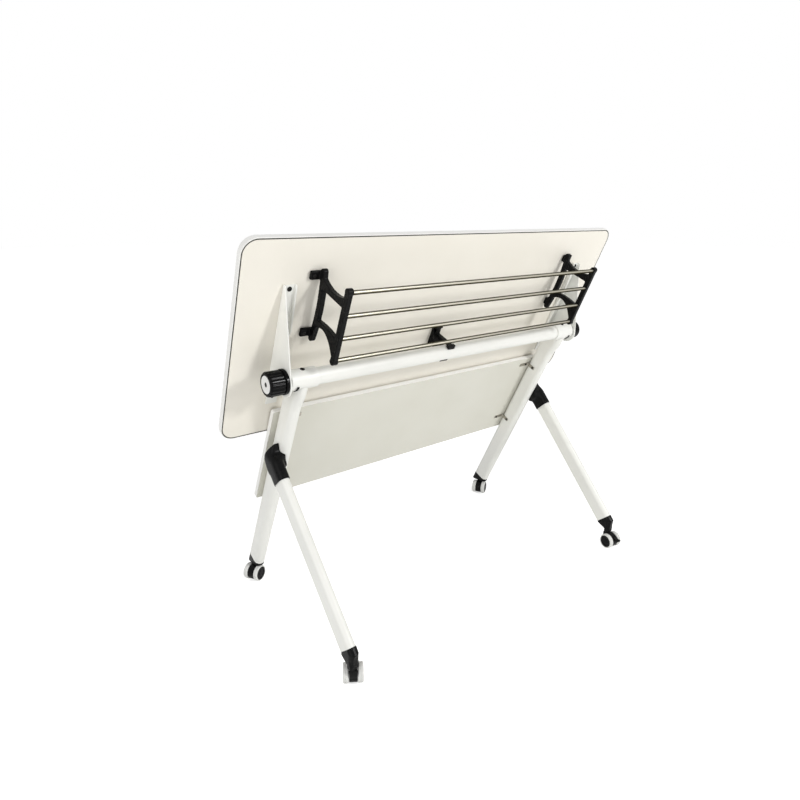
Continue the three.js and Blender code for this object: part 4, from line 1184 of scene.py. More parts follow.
@dataclass
class Legs:
    """Main legs, front legs, the black joints between them and the black feet."""

    stance: Stance
    main_section: tuple[float, float] = (30.0, 55.0)
    main_cut_height: float = 67.5
    head: float = 42.0
    flare: float = 10.0
    cope_radius: float = 23.8
    cope_fall: float = 23.5
    front_section: tuple[float, float] = (25.0, 50.0)
    front_start: float = 46.0
    front_cut_height: float = 84.4
    sleeve_end: float = 78.0
    sleeve_wall: float = 3.0
    tongue: float = 33.0
    tongue_taper: float = 25.0
    horn: float = 5.0
    wrap: float = 12.0
    neck_radius: float = 9.5
    neck_forward: float = 18.0
    straight: float = 20.0
    sole: float = 47.1
    fit: float = 0.3
    voxel: float = 0.9

    def main_length(self) -> float:
        """Tells how long a main leg is, from the pivot's height to its square cut."""
        drop = self.stance.pivot.translation.z - self.main_cut_height
        return drop / math.cos(math.radians(self.stance.main_lean))

    def front_end(self) -> float:
        """Tells how far down its axis a front leg ends."""
        drop = self.stance.front_leg.translation.z - self.front_cut_height
        return drop / math.cos(math.radians(self.stance.front_lean))

    def station(self, node: str) -> float:
        """Finds the middle of a leg along X."""
        return sum(reach(node)) / 2

    def main_tube(self, x: float, levels: Sequence[float], grow: float = 0.0) -> Stock:
        """Makes a stretch of main leg, or of the space it takes, in the leg's frame."""
        width, depth = self.main_section
        return Stock.prism(Outline.oval(width + 2 * grow, depth + 2 * grow, x), levels, Axis.Z)

    def front_tube(self, x: float, levels: Sequence[float], grow: float = 0.0) -> Stock:
        """Makes a stretch of front leg, or of the space it takes, in the leg's frame."""
        width, depth = self.front_section
        return Stock.prism(Outline.oval(width + 2 * grow, depth + 2 * grow, x), levels, Axis.Z)

    def build_main(self, side: Side) -> Stock:
        """Makes a main leg: flared in front under the collar and coped round it.

        Args:
            side: Which end.

        Returns:
            The leg, in the main legs' frame.
        """
        x = self.station(side.named("main_leg"))
        start = -2 * self.head
        steps = 24
        rings = [start * (1 - step / steps) for step in range(steps + 1)]
        leg = self.main_tube(x, [-self.main_length(), *rings])
        front = self.main_section[1] / 2

        def flare(point: Vector) -> Vector:
            """Carries the front edge forward towards the head."""
            rise = min(max((point.z - start) / (-self.cope_fall - start), 0.0), 1.0)
            share = max(-point.y / front, 0.0)
            forward = self.flare * rise * rise * (3 - 2 * rise) * share
            return Vector((point.x, point.y - forward, point.z))

        axis = self.stance.main_leg.inverted() @ self.stance.pivot.translation
        cope = Stock.rod(self.cope_radius, (x - front, x + front), centre=(axis.y, axis.z), sides=96)
        return leg.shaped(flare).minus(cope)

    def build_front(self, side: Side) -> Stock:
        """Makes a front leg, in the front legs' frame."""
        x = self.station(side.named("front_leg"))
        return self.front_tube(x, (-self.front_end(), -self.front_start))

    def head_outline(self) -> Outline:
        """Draws a leg joint's head in the main legs' frame: a tongue up the leg and a horn in front.

        Returns:
            The outline.
        """
        _, depth = self.main_section
        sleeve = self.stance.main_leg.inverted() @ self.stance.front_leg
        rear = sleeve @ Vector((0, self.front_section[1] / 2, -self.front_start))
        fore = sleeve @ Vector((0, -self.front_section[1] / 4, -self.front_start))
        front = -depth / 2
        level = -self.stance.joint_drop
        tip = depth / 12
        shape = Outline((rear.y, rear.z))
        shape.bend((tip, level - 0.8 * self.tongue), (1.3 * tip, level - self.tongue / 4))
        shape.bend((1.3 * tip, level + 0.5 * self.tongue), (-tip / 2, level + self.tongue))
        shape.to(-1.7 * tip, level + 0.95 * self.tongue)
        shape.bend((front / 2, level + 0.35 * self.tongue), (front, level + 0.45 * self.tongue))
        shape.to(front - self.horn, level + 0.4 * self.tongue)
        shape.to(front - self.horn, level + 0.1 * self.tongue)
        return shape.to(fore.y, fore.z)

    def build_joint(self, side: Side) -> Stock:
        """Makes a leg joint: a sleeve on the front leg, with a head against the main leg.

        Args:
            side: Which end.

        Returns:
            The joint, in the table's frame.
        """
        main_x = self.station(side.named("main_leg"))
        front_x = self.station(side.named("front_leg"))
        inner = abs(main_x) + self.main_section[0] / 2 - self.wrap
        outer = abs(front_x) + self.front_section[0] / 2 + self.sleeve_wall
        depth = self.main_section[1]
        head = Stock.prism(self.head_outline(), side.span(inner, outer), Axis.X)
        slab = Stock.block(side.span(0, depth), (-depth, depth), (0, 2 * self.tongue))
        slab.moved(Matrix.Rotation(math.radians(-side.value * self.tongue_taper), 4, "Y"))
        slab.moved(Matrix.Translation((side.value * outer, 0, -self.stance.joint_drop)))
        head.minus(slab).moved(self.stance.main_leg)
        waste = 2 * self.sleeve_end
        sleeve = self.front_tube(front_x, (-waste, -self.front_start * 0.6), self.sleeve_wall)
        whole = head.plus(sleeve.moved(self.stance.front_leg)).moulded(2 * self.voxel, 36)
        end = Stock.block((front_x - depth, front_x + depth), (-depth, depth), (-2 * waste, -self.sleeve_end))
        leg_space = self.main_tube(main_x, (-self.main_length(), 0), self.fit)
        socket = self.front_tube(front_x, (-waste, -self.front_start), self.fit)
        return whole.minus(leg_space.moved(self.stance.main_leg), end.moved(self.stance.front_leg),
                           socket.moved(self.stance.front_leg))

    def build_shoe(self, side: Side) -> Stock:
        """Makes a front leg's foot: a bent shoe that stands upright on the caster's stem.

        Args:
            side: Which end.

        Returns:
            The foot, in the table's frame.
        """
        x = self.station(side.named("front_leg"))
        half = self.front_section[1] / 2
        end = self.front_end()

        def along(y: float, z: float) -> Vector:
            """Finds a point near the leg's end, in the table's frame."""
            return self.stance.front_leg @ Vector((0, y, z - end))

        foot = along(0, 0)
        stem = foot.y - self.neck_forward
        fore, fore_bend = along(-half, 0), along(-half, -self.straight)
        rear = along(half, 0)
        neck = (stem - self.neck_radius, stem + self.neck_radius)
        shape = Outline((fore.y, fore.z), (fore_bend.y, fore_bend.z))
        shape.bend((neck[0], fore_bend.z - self.neck_radius), (neck[0], self.sole))
        shape.to(neck[1], self.sole).to(neck[1], self.sole + self.neck_radius).to(rear.y, rear.z)
        front = ((self.sole, neck[0]), (fore_bend.z, fore_bend.y), (fore.z, fore.y))
        back = ((self.sole + self.neck_radius, neck[1]), (rear.z, rear.y))

        def round_in(point: Vector) -> Vector:
            """Draws the sides in towards the front and rear edges, as the tube's are."""
            low, high = level_at(front, point.z), level_at(back, point.z)
            share = min(max(abs(2 * point.y - low - high) / (high - low) - 0.45, 0.0) / 0.55, 0.97)
            return Vector((x + (point.x - x) * math.sqrt(1 - share * share), point.y, point.z))

        wide = self.front_section[0] / 2
        shoe = Stock.prism(shape, (x - wide, x + wide), Axis.X)
        return shoe.moulded(self.voxel, 4).shaped(round_in)

    def build_boot(self, side: Side) -> Stock:
        """Makes a main leg's foot: a boot that carries the leg's section down to a level sole.

        Args:
            side: Which end.

        Returns:
            The foot, in the table's frame.
        """
        x = self.station(side.named("main_leg"))
        cut = -self.main_length() - self.fit
        boot = self.main_tube(x, (cut - 2 * self.main_section[1], cut)).moved(self.stance.main_leg)
        return boot.trimmed(Vector((0, 0, self.sole)), Vector((0, 0, -1))).soften(1.2, 3)

    def dress(self) -> None:
        """Sets out the legs' pieces."""
        here = Matrix.Identity(4)
        for side in Side:
            for node, stock, place, finish, slot in (
                    ("main_leg", self.build_main(side), self.stance.main_leg, POWDER_COAT, "white_paint"),
                    ("front_leg", self.build_front(side), self.stance.front_leg, POWDER_COAT, "white_paint"),
                    ("leg_joint", self.build_joint(side), here, MOULDED_NYLON, "black_plastic"),
                    ("front_socket", self.build_shoe(side), here, MOULDED_NYLON, "black_plastic"),
                    ("rear_socket", self.build_boot(side), here, MOULDED_NYLON, "black_plastic")):
                cad_node = side.named(node)
                set_out(f"{cad_node}_piece", stock, place, finish, "frame", [cad_node])


@dataclass
class ModestyPanel:
    """The panel behind the main legs, its edge band and the angle strips that hold it."""

    stance: Stance
    face: float = 28.0
    thickness: float = 12.0
    drop: float = 122.5
    height: float = 300.0
    corner: float = 6.0
    band: float = 1.0
    strip_width: float = 10.0
    strip_thickness: float = 2.0
    leg_reach: float = 30.0
    upper_drop: float = 24.0
    lower_rise: float = 52.0
    screw_radius: float = 3.6
    screw_height: float = 1.8
    screw_inset: float = 6.0
    fit: float = 0.3

    def outline(self, inset: float) -> Outline:
        """Draws the panel's face, drawn in from its edge."""
        low, high = reach("modesty_panel")
        foot = -self.drop - self.height
        return Outline.rounded((low + inset, foot + inset), (high - inset, -self.drop - inset),
                               self.corner - inset, 8)

    def build_board(self) -> Stock:
        """Makes the board inside its band."""
        span = (self.face, self.face + self.thickness)
        return Stock.prism(self.outline(self.band + 0.05), span, Axis.Y).soften(0.3, 2, 60)

    def build_band(self) -> Stock:
        """Makes the band round the board."""
        span = (self.face, self.face + self.thickness)
        return Stock.ring(self.outline(0), self.band, span, Axis.Y).soften(0.4, 3, 60)

    def strip_level(self, row: str) -> float:
        """Finds the middle of an upper or lower strip."""
        if row == "upper":
            return -self.drop - self.upper_drop
        return -self.drop - self.height + self.lower_rise

    def strip_limits(self, side: Side, row: str) -> tuple[float, float]:
        """Finds a strip's ends along X, as distances off the middle."""
        near, far = sorted(abs(end) for end in reach(side.named(f"panel_strip_{row}")))
        return near, far

    def build_strip(self, side: Side, row: str) -> Stock:
        """Makes an angle strip: one flap on the leg, one on the panel.

        Args:
            side: Which end.
            row: Upper or lower.

        Returns:
            The strip.
        """
        near, far = self.strip_limits(side, row)
        seat = self.face - self.fit
        level = self.strip_level(row)
        z = (level - self.strip_width / 2, level + self.strip_width / 2)
        shape = Outline((far, seat), (near, seat), (near, seat - self.strip_thickness))
        shape.arc((far - 2 * self.strip_thickness, seat - 2 * self.strip_thickness),
                  self.strip_thickness, 90, 0, 5)
        shape.to(far - self.strip_thickness, seat - self.leg_reach).to(far, seat - self.leg_reach)
        flat = Outline(*((side.value * u, v) for u, v in shape.points))
        return Stock.prism(flat, z, Axis.Z).soften(0.5, 2, 60)

    def build_screws(self, side: Side, row: str) -> Stock:
        """Makes the two screw heads of a strip.

        Args:
            side: Which end.
            row: Upper or lower.

        Returns:
            Both heads.
        """
        near, far = self.strip_limits(side, row)
        seat = self.face - self.fit
        level = self.strip_level(row)
        across = near + self.screw_inset if row == "lower" else far - 2 * self.screw_inset
        on_panel = Vector((side.value * across, seat - self.strip_thickness, level))
        on_leg = Vector((side.value * (far - self.strip_thickness),
                         seat - self.leg_reach + self.screw_inset, level))
        first = pan_screw(self.screw_radius, self.screw_height).moved(facing(Vector((0, -1, 0)), on_panel))
        second = pan_screw(self.screw_radius, self.screw_height)
        return first.beside(second.moved(facing(Vector((-side.value, 0, 0)), on_leg)))

    def dress(self) -> None:
        """Sets out the panel's pieces."""
        place = self.stance.main_leg
        set_out("panel_board", self.build_board(), place, PANEL_LAMINATE, "frame",
                ["modesty_panel"])
        set_out("panel_edge_band", self.build_band(), place, EDGE_BAND, "frame")
        for side in Side:
            for row in ("upper", "lower"):
                node = side.named(f"panel_strip_{row}")
                set_out(f"{node}_angle", self.build_strip(side, row), place, BRONZED_ZINC, "frame",
                        [node])
                set_out(f"{node}_screws", self.build_screws(side, row), place, BLACK_OXIDE, "frame")


@dataclass
class SupportArms:
    """The folded arms under the top, each with a round eye on the pivot."""

    stance: Stance
    seat: float = 65.7
    sheet: float = 3.0
    tip_reach: float = 199.0
    tip_round: float = 4.0
    rear_reach: float = 110.0
    wall_rear: float = 62.0
    tip_depth: float = 9.0
    eye_radius: float = 30.0
    eye_setback: float = 6.0
    eye_thickness: float = 4.0
    inner_end: float = 75.0
    inner_depth: float = 15.0
    bolt_radius: float = 6.3
    screw_radius: float = 5.6
    rear_screw_radius: float = 3.2
    screw_height: float = 2.2
    screw_inset: float = 10.0
    edge_round: float = 0.8

    def outer_outline(self) -> Outline:
        """Draws the outer wall, from its tip round the eye to its rear end.

        Returns:
            The outline.
        """
        low = self.seat - self.tip_depth
        soft = self.tip_round
        shape = Outline((self.wall_rear, self.seat), (-self.tip_reach, self.seat))
        shape.arc((-self.tip_reach + soft, low + soft), soft, 180, 270, 5)
        starts = []
        for end, turn in ((-self.tip_reach, -1), (self.wall_rear, 1)):
            across, down = self.eye_setback - end, -low
            swing = math.asin(self.eye_radius / math.hypot(across, down))
            starts.append(math.degrees(math.atan2(down, across) + turn * (swing + math.pi / 2)))
        if starts[1] < starts[0]:
            starts[1] += 360
        shape.arc((self.eye_setback, 0), self.eye_radius, starts[0], starts[1], 28)
        return shape.to(self.wall_rear, low)

    def inner_outline(self) -> Outline:
        """Draws the low inner wall, which stops short of the eye.

        Returns:
            The outline.
        """
        low = self.seat - self.tip_depth
        soft = self.tip_round
        shape = Outline((self.wall_rear, self.seat), (-self.tip_reach, self.seat))
        shape.arc((-self.tip_reach + soft, low + soft), soft, 180, 270, 5)
        shape.to(-self.inner_end - self.inner_depth, self.seat - self.inner_depth)
        return shape.to(-self.inner_end, low).to(self.wall_rear, low)

    def build_arm(self, side: Side) -> Stock:
        """Makes an arm.

        Args:
            side: Which end.

        Returns:
            The arm.
        """
        near, far = sorted(abs(end) for end in reach(side.named("support_arm")))
        sheet, soft = self.sheet, self.edge_round
        outer = Stock.prism(self.outer_outline(), side.span(far - sheet, far), Axis.X).soften(soft, 3, 30)
        inner = Stock.prism(self.inner_outline(), side.span(near, near + sheet), Axis.X).soften(soft, 3, 30)
        web = Stock.block(side.span(near + soft, far - soft),
                          (-self.tip_reach + soft, self.rear_reach - soft),
                          (self.seat - sheet, self.seat)).soften(0.5, 2)
        boss = Stock.rod(self.eye_radius, side.span(far - self.eye_thickness, far - soft),
                         centre=(self.eye_setback, 0), sides=72).soften(soft, 3)
        bore = Stock.rod(self.bolt_radius, side.span(near - 1, far + 1), sides=32)
        return outer.plus(inner, web, boss).minus(bore)

    def build_screws(self, side: Side) -> Stock:
        """Makes the screw heads inside an arm, at its tip and towards its rear.

        Args:
            side: Which end.

        Returns:
            The heads.
        """
        near, far = sorted(abs(end) for end in reach(side.named("support_arm")))
        x = side.value * (near + far) / 2
        heads = Stock()
        for y, radius in ((-self.tip_reach + self.screw_inset, self.screw_radius),
                          (self.rear_reach - 2 * self.screw_inset, self.rear_screw_radius)):
            at = Vector((x, y, self.seat - self.sheet))
            head = pan_screw(radius, self.screw_height)
            heads.beside(head.moved(facing(Vector((0, 0, -1)), at)))
        return heads

    def dress(self) -> None:
        """Sets out the arms' pieces."""
        place = self.stance.top
        for side in Side:
            node = side.named("support_arm")
            set_out(f"{node}_piece", self.build_arm(side), place, POWDER_COAT, "top", [node])
            set_out(f"{node}_screws", self.build_screws(side), place, BLACK_OXIDE, "top")


@dataclass
class BookRack:
    """Two black brackets under the top and the four rods that they carry."""

    stance: Stance
    seat: float = 65.7
    rod_height: float = -43.0
    rod_radius: float = 5.0
    rod_pitch: float = 54.5
    rod_count: int = 4
    top_rod: float = 231.0
    thickness: float = 12.0
    bar_depth: float = 14.0
    foot: float = 6.0
    arch: float = 8.0
    inner_bar: tuple[float, float] = (60.0, 236.0)
    overhang: float = 9.0
    end_swell: float = 1.2
    web: float = 14.0
    web_flare: float = 13.0
    upper_web: tuple[float, float, float] = (207.0, 6.0, 0.0)
    lower_web: tuple[float, float, float] = (106.0, -11.0, 28.0)
    pads: tuple[float, float] = (218.0, 79.0)
    pad_length: float = 22.0
    pad_width: float = 20.0
    screw_radius: float = 4.0
    screw_height: float = 2.0
    voxel: float = 0.95

    def rod_reaches(self) -> list[float]:
        """Lists how far in front of the pivot each rod is."""
        return [self.top_rod - row * self.rod_pitch for row in range(self.rod_count)]

    def bar(self, x: Sequence[float], near: float, far: float, z: float, arch: float = 0.0) -> Stock:
        """Makes a bar of a bracket, with round ends that are swelled on a straight bar.

        Args:
            x: Its sides.
            near: Its lower end, in front of the pivot.
            far: Its upper end.
            z: The height of its ends' middle.
            arch: How far its middle stands off from its ends.

        Returns:
            The bar.
        """
        half = self.bar_depth / 2
        low, high = -far + half, -near - half
        middle = (low + high) / 2
        shape = Outline().arc((high, z), half, -90, 90, 12)
        shape.bend((middle, z + half - 2 * arch), (low, z + half), 24)
        shape.arc((low, z), half, 90, 270, 12)
        shape.bend((middle, z - half - 2 * arch), (high, z - half), 24)
        whole = Stock.prism(shape, x, Axis.X)
        if arch:
            return whole
        swell = half + self.end_swell
        sides = (x[0] - self.end_swell / 2, x[1] + self.end_swell / 2)
        return whole.plus(*(Stock.rod(swell, sides, Axis.X, (end, z), 40) for end in (low, high)))

    def curved_web(self, x: Sequence[float], at: float, bow: float, draw: float) -> Stock:
        """Makes a curved web between the two bars.

        Args:
            x: Its sides.
            at: Where it stands in front of the pivot.
            bow: How far its middle is carried to the rear.
            draw: How far its foot is drawn out along the outer bar.

        Returns:
            The web.
        """
        high = self.seat - self.foot - self.bar_depth / 2 - self.arch / 2
        low = self.rod_height
        middle = (high + low) / 2
        waist = self.web - self.web_flare
        front, rear = -at - self.web_flare, -at + self.web_flare
        shape = Outline((front, high))
        shape.bend((-at + 2 * bow - waist, middle), (front, low), 20)
        shape.to(rear + draw, low)
        shape.bend((-at + 2 * bow + waist - draw / 2, middle), (rear, high), 20)
        return Stock.prism(shape, x, Axis.X)

    def build_bracket(self, side: Side) -> Stock:
        """Makes a bracket.

        Args:
            side: Which end.

        Returns:
            The bracket.
        """
        near = min(abs(end) for end in reach(side.named("rack_bracket")))
        far = near + self.thickness
        x = side.span(near, far)
        top = self.seat - self.foot
        lowest = self.rod_reaches()[-1] - self.overhang
        inner = self.bar(x, *self.inner_bar, top - self.bar_depth / 2, self.arch)
        outer = self.bar(x, lowest, self.top_rod + self.overhang, self.rod_height)
        webs = [self.curved_web(x, *web) for web in (self.upper_web, self.lower_web)]
        half = self.pad_width / 2
        pads = []
        for at in self.pads:
            y = (-at - half, -at + half)
            plate = Stock.block(side.span(near, far + self.pad_length), y, (top - 2, self.seat))
            pads.append(plate.soften(2, 3))
            pads.append(Stock.block(x, y, (top - self.bar_depth / 2, self.seat)).soften(2, 3))
        return outer.plus(inner, *webs, *pads).moulded(self.voxel, 4)

    def build_screws(self, side: Side) -> Stock:
        """Makes the screw heads on a bracket's pads.

        Args:
            side: Which end.

        Returns:
            The heads.
        """
        near = min(abs(end) for end in reach(side.named("rack_bracket")))
        x = side.value * (near + self.thickness + 0.6 * self.pad_length)
        heads = Stock()
        for at in self.pads:
            head = pan_screw(self.screw_radius, self.screw_height)
            place = Vector((x, -at, self.seat - self.foot - 2))
            heads.beside(head.moved(facing(Vector((0, 0, -1)), place)))
        return heads

    def build_rod(self, row: int) -> Stock:
        """Makes a rod, with its ends eased."""
        centre = (-self.rod_reaches()[row], self.rod_height)
        return Stock.rod(self.rod_radius, reach(f"rack_rod_{row + 1}"), Axis.X, centre, 40).soften(0.8, 3)

    def dress(self) -> None:
        """Sets out the rack's pieces."""
        place = self.stance.top
        for side in Side:
            node = side.named("rack_bracket")
            set_out(f"{node}_piece", self.build_bracket(side), place, MOULDED_NYLON, "top",
                    [node])
            set_out(f"{node}_screws", self.build_screws(side), place, BLACK_OXIDE, "top")
        for row in range(self.rod_count):
            set_out(f"rack_bar_{row + 1}", self.build_rod(row), place, SATIN_STEEL, "top",
                    [f"rack_rod_{row + 1}"])


@dataclass
class HookLatch:
    """The hook under the top that rides on the beam, with its base, pin and return spring."""

    stance: Stance
    seat: float = 65.7
    beam_radius: float = 20.0
    width: float = 13.0
    pin_radius: float = 4.0
    pin_forward: float = 16.0
    pin_drop: float = 15.0
    eye_radius: float = 9.0
    cheek: float = 3.0
    base_thickness: float = 3.0
    base_front: float = 40.0
    base_rear: float = 12.0
    cheek_foot: float = 40.0
    arm_depth: float = 7.0
    nose_below: float = 10.0
    tab: float = 18.5
    tab_thickness: float = 5.0
    tab_width: float = 24.0
    tab_depth: float = 3.0
    wire: float = 1.4
    turns: int = 3
    pitch: float = 2.4
    fit: float = 0.3

    def pin(self) -> tuple[float, float]:
        """Finds the pin's axis in the top's frame."""
        return -self.pin_forward, self.seat - self.pin_drop

    def build_base(self) -> Stock:
        """Makes the base: a plate with two cheeks.

        Returns:
            The base, about the latch's own middle.
        """
        start = self.width / 2 + self.fit
        end = start + self.cheek
        seat = self.seat
        plate = Stock.block((-end, end), (-self.base_front, self.base_rear),
                            (seat - self.base_thickness, seat)).soften(0.6, 3)
        y, z = self.pin()
        foot = seat - self.cheek_foot
        shape = Outline((-self.base_front, seat - 1), (y - self.eye_radius, z))
        shape.to(y - self.eye_radius / 2, foot).to(self.base_rear - self.pin_radius, foot)
        shape.to(self.base_rear, seat - self.base_thickness).to(self.base_rear, seat - 1)
        cheeks = [Stock.prism(shape, side.span(start, end), Axis.X).soften(0.6, 3, 30) for side in Side]
        hole = Stock.rod(self.pin_radius + self.fit, (-2 * end, 2 * end), Axis.X, self.pin(), 32)
        return plate.plus(*cheeks).minus(hole)

    def build_hook(self) -> Stock:
        """Makes the hook: an eye on the pin, a finger tab, and an arm with a nose on the beam.

        Returns:
            The hook, about the latch's own middle.
        """
        clear = self.beam_radius + 2 * self.fit
        y, z = self.pin()
        depth = self.arm_depth
        front = -clear - depth
        tab = front - self.tab
        thick = self.tab_thickness / 2
        shape = Outline().arc((y, z), self.eye_radius - self.fit, -60, 180, 24)
        shape.to(tab, z + thick).to(tab, z - thick)
        shape.to(front, z - thick).to(front, -self.nose_below)
        shape.to(-clear, -self.nose_below - depth / 2).to(-clear / 2, -self.nose_below)
        shape.to(-clear, 0).to(-clear - depth / 2, self.beam_radius)
        half = self.width / 2
        wide = self.tab_width / 2
        grip = Stock.block((-wide, wide), (tab, tab + self.tab_depth), (z - thick, z + thick))
        nose = Stock.block((-wide, wide), (front + 0.4, -clear / 2 - 2),
                           (-self.nose_below - depth / 2 + 0.4, -self.nose_below + depth))
        hook = Stock.prism(shape, (-half, half), Axis.X).plus(grip, nose)
        beam = Stock.rod(clear, (-self.width, self.width), sides=72)
        bore = Stock.rod(self.pin_radius + self.fit, (-self.width, self.width), Axis.X, self.pin(), 32)
        spring_half = self.turns * self.pitch / 2 + self.wire
        spring_room = Stock.rod(self.pin_radius + 2 * self.fit + self.wire + 2 * self.fit,
                                (-spring_half, spring_half), Axis.X, self.pin(), 32)
        return hook.minus(beam).moulded(0.55, 5).minus(bore, spring_room)

    def dress(self) -> None:
        """Sets out the latch's pieces."""
        middle = sum(reach("latch_hook")) / 2
        place = self.stance.top @ Matrix.Translation((middle, 0, 0))
        set_out("latch_plate", self.build_base(), place, MOULDED_NYLON, "top",
                ["latch_base"])
        set_out("latch_finger", self.build_hook(), place, MOULDED_NYLON, "latch",
                ["latch_hook"])
        half = self.width / 2 + self.fit + self.cheek
        pin = Stock.rod(self.pin_radius, (-half, half), Axis.X, self.pin(), 32).soften(0.6, 3)
        set_out("latch_axle", pin, place, BLACK_OXIDE, "top", ["latch_pin"])
        mean = self.pin_radius + 2 * self.fit + self.wire / 2
        spring = Stock.coil(self.wire, mean, self.pitch, self.turns)
        spring.moved(Matrix.Translation((0, *self.pin())))
        set_out("latch_coil", spring, place, PLATED_STEEL, "top", ["latch_spring"])


@dataclass
class Casters:
    """Four twin-wheel casters, with a brake lever on the front pair."""

    stance: Stance
    wheel_radius: float = 22.5
    wheel_width: float = 13.0
    shoulder: float = 3.6
    groove: tuple[float, float] = (1.6, 0.7)
    hub_radius: float = 18.4
    hub_inset: float = 0.8
    hub_dish: float = 1.2
    side_gap: float = 0.5
    trail: float = 14.0
    top: float = 46.8
    flange: float = 1.4
    body_radius: float = 20.5
    body_width: float = 19.0
    neck_radius: float = 9.5
    stem_radius: float = 5.0
    stem_length: float = 26.0
    axle_radius: float = 4.3
    brake_width: float = 12.0
    brake_reach: float = 18.0
    brake_thickness: float = 4.5
    brake_pin: tuple[float, float] = (15.5, 12.0)
    brake_pin_radius: float = 1.6
    brake_travel: float = 18.0
    fit: float = 0.3

    def centre(self) -> tuple[float, float]:
        """Finds the wheels' axis behind the stem and above the floor."""
        return self.trail, self.wheel_radius

    def pin(self) -> tuple[float, float]:
        """Finds the brake lever's pin."""
        return self.trail + self.brake_pin[0], self.wheel_radius + self.brake_pin[1]

    def brake_outline(self, grow: float) -> Outline:
        """Draws the lever from the side, or the pocket that it moves in.

        Args:
            grow: How much larger than the lever it is.

        Returns:
            The outline.
        """
        y, z = self.pin()
        thick = self.brake_thickness / 2 + grow
        fall = self.brake_thickness / 2
        shape = Outline().arc((y, z), thick, 90, 270, 12)
        return shape.to(y + self.brake_reach, z - thick - fall).to(y + self.brake_reach, z + thick - fall)

    def build_body(self, braked: bool) -> Stock:
        """Makes the body between the wheels, its neck and stem.

        Args:
            braked: Whether it has the brake lever's pocket.

        Returns:
            The body.
        """
        half = self.body_width / 2
        neck = self.neck_radius
        neck_top = self.top - self.flange
        shape = Outline((neck, neck_top), (-neck, neck_top)).to(-neck, self.wheel_radius + neck)
        shape.arc(self.centre(), self.body_radius, 178, 428, 48)
        shape.bend((neck + 4, neck_top - 2), (neck, neck_top), 6)
        body = Stock.prism(shape, (-half, half), Axis.X).soften(1.6, 4, 30)
        flange = Stock.rod(neck, (neck_top - 1, self.top), Axis.Z).soften(0.4, 2)
        stem = Stock.rod(self.stem_radius, (self.top - 1, self.top + self.stem_length), Axis.Z, sides=32)
        body.plus(flange, stem)
        body.minus(Stock.rod(self.axle_radius, (-2 * half, 2 * half), Axis.X, self.centre(), 32))
        if not braked:
            return body
        pocket_half = self.brake_width / 2 + self.fit
        pockets = []
        for turn in (0.0, -self.brake_travel):
            pocket = Stock.prism(self.brake_outline(4 * self.fit), (-pocket_half, pocket_half), Axis.X)
            pin = Matrix.Translation((0, *self.pin()))
            pockets.append(pocket.moved(pin @ Matrix.Rotation(math.radians(turn), 4, "X") @ pin.inverted()))
        return body.minus(*pockets)

    def build_tread(self, hand: Side) -> Stock:
        """Makes a wheel's tread: a ring with round shoulders and a groove round its middle.

        Args:
            hand: Which wheel of the pair.

        Returns:
            The tread, on the caster's axis.
        """
        inner = self.body_width / 2 + self.side_gap
        outer = inner + self.wheel_width
        soft, rim = self.shoulder, self.wheel_radius - self.shoulder
        middle = (inner + outer) / 2
        wide, _ = self.groove
        profile = Outline((inner, self.axle_radius), (inner, rim - 1))
        profile = profile.arc((inner + soft, rim), soft, 180, 90, 7)
        profile.to(middle - wide / 2, self.wheel_radius)
        profile.arc((middle, self.wheel_radius), wide / 2, 180, 360, 6)
        profile.arc((outer - soft, rim), soft, 90, 0, 7)
        profile.to(outer, self.hub_radius + self.fit)
        profile.to(outer - 3 * self.hub_inset, self.hub_radius + self.fit)
        profile.to(outer - 3 * self.hub_inset, self.axle_radius)
        wheel = Stock.turned(profile, steps=80, loop=True)
        return self.handed(wheel, hand)

    def build_hub(self, hand: Side) -> Stock:
        """Makes a wheel's black hub cap, dished round a raised middle.

        Args:
            hand: Which wheel of the pair.

        Returns:
            The cap, on the caster's axis.
        """
        outer = self.body_width / 2 + self.side_gap + self.wheel_width
        back, front = outer - 3 * self.hub_inset + 0.1, outer - self.hub_inset
        rim = self.hub_radius
        floor = front - self.hub_dish
        profile = Outline((back, 0), (back, rim)).arc((front - 0.8, rim - 0.8), 0.8, 90, 0, 5)
        profile.to(front, rim - 3.4).bend((floor, rim - 4.0), (floor, rim - 5.5), 5)
        profile.to(floor, 8.5).bend((floor + 0.2, 7.0), (front, 6.2), 5).to(front, 0)
        return self.handed(Stock.turned(profile, steps=72), hand)

    def handed(self, stock: Stock, hand: Side) -> Stock:
        """Turns a wheel's piece to its own side and sets it on the axle."""
        turn = Matrix.Rotation(math.pi if hand is Side.LEFT else 0.0, 4, "Z")
        return stock.moved(Matrix.Translation((0, *self.centre())) @ turn)

    def build_lever(self) -> Stock:
        """Makes the brake lever, with its pin and three grip ribs.

        Returns:
            The lever.
        """
        half = self.brake_width / 2
        body_half = self.body_width / 2
        lever = Stock.prism(self.brake_outline(0), (-half, half), Axis.X).soften(0.8, 3, 30)
        pin = Stock.rod(self.brake_pin_radius, (-body_half, body_half), Axis.X, self.pin(), 20)
        y, z = self.pin()
        ribs = [Stock.rod(0.6, (-half + 1.5, half - 1.5), Axis.X,
                          (y + self.brake_reach * share, z + self.brake_thickness * (0.5 - 0.5 * share)), 12)
                for share in (0.7, 0.8, 0.9)]
        return lever.plus(pin, *ribs)

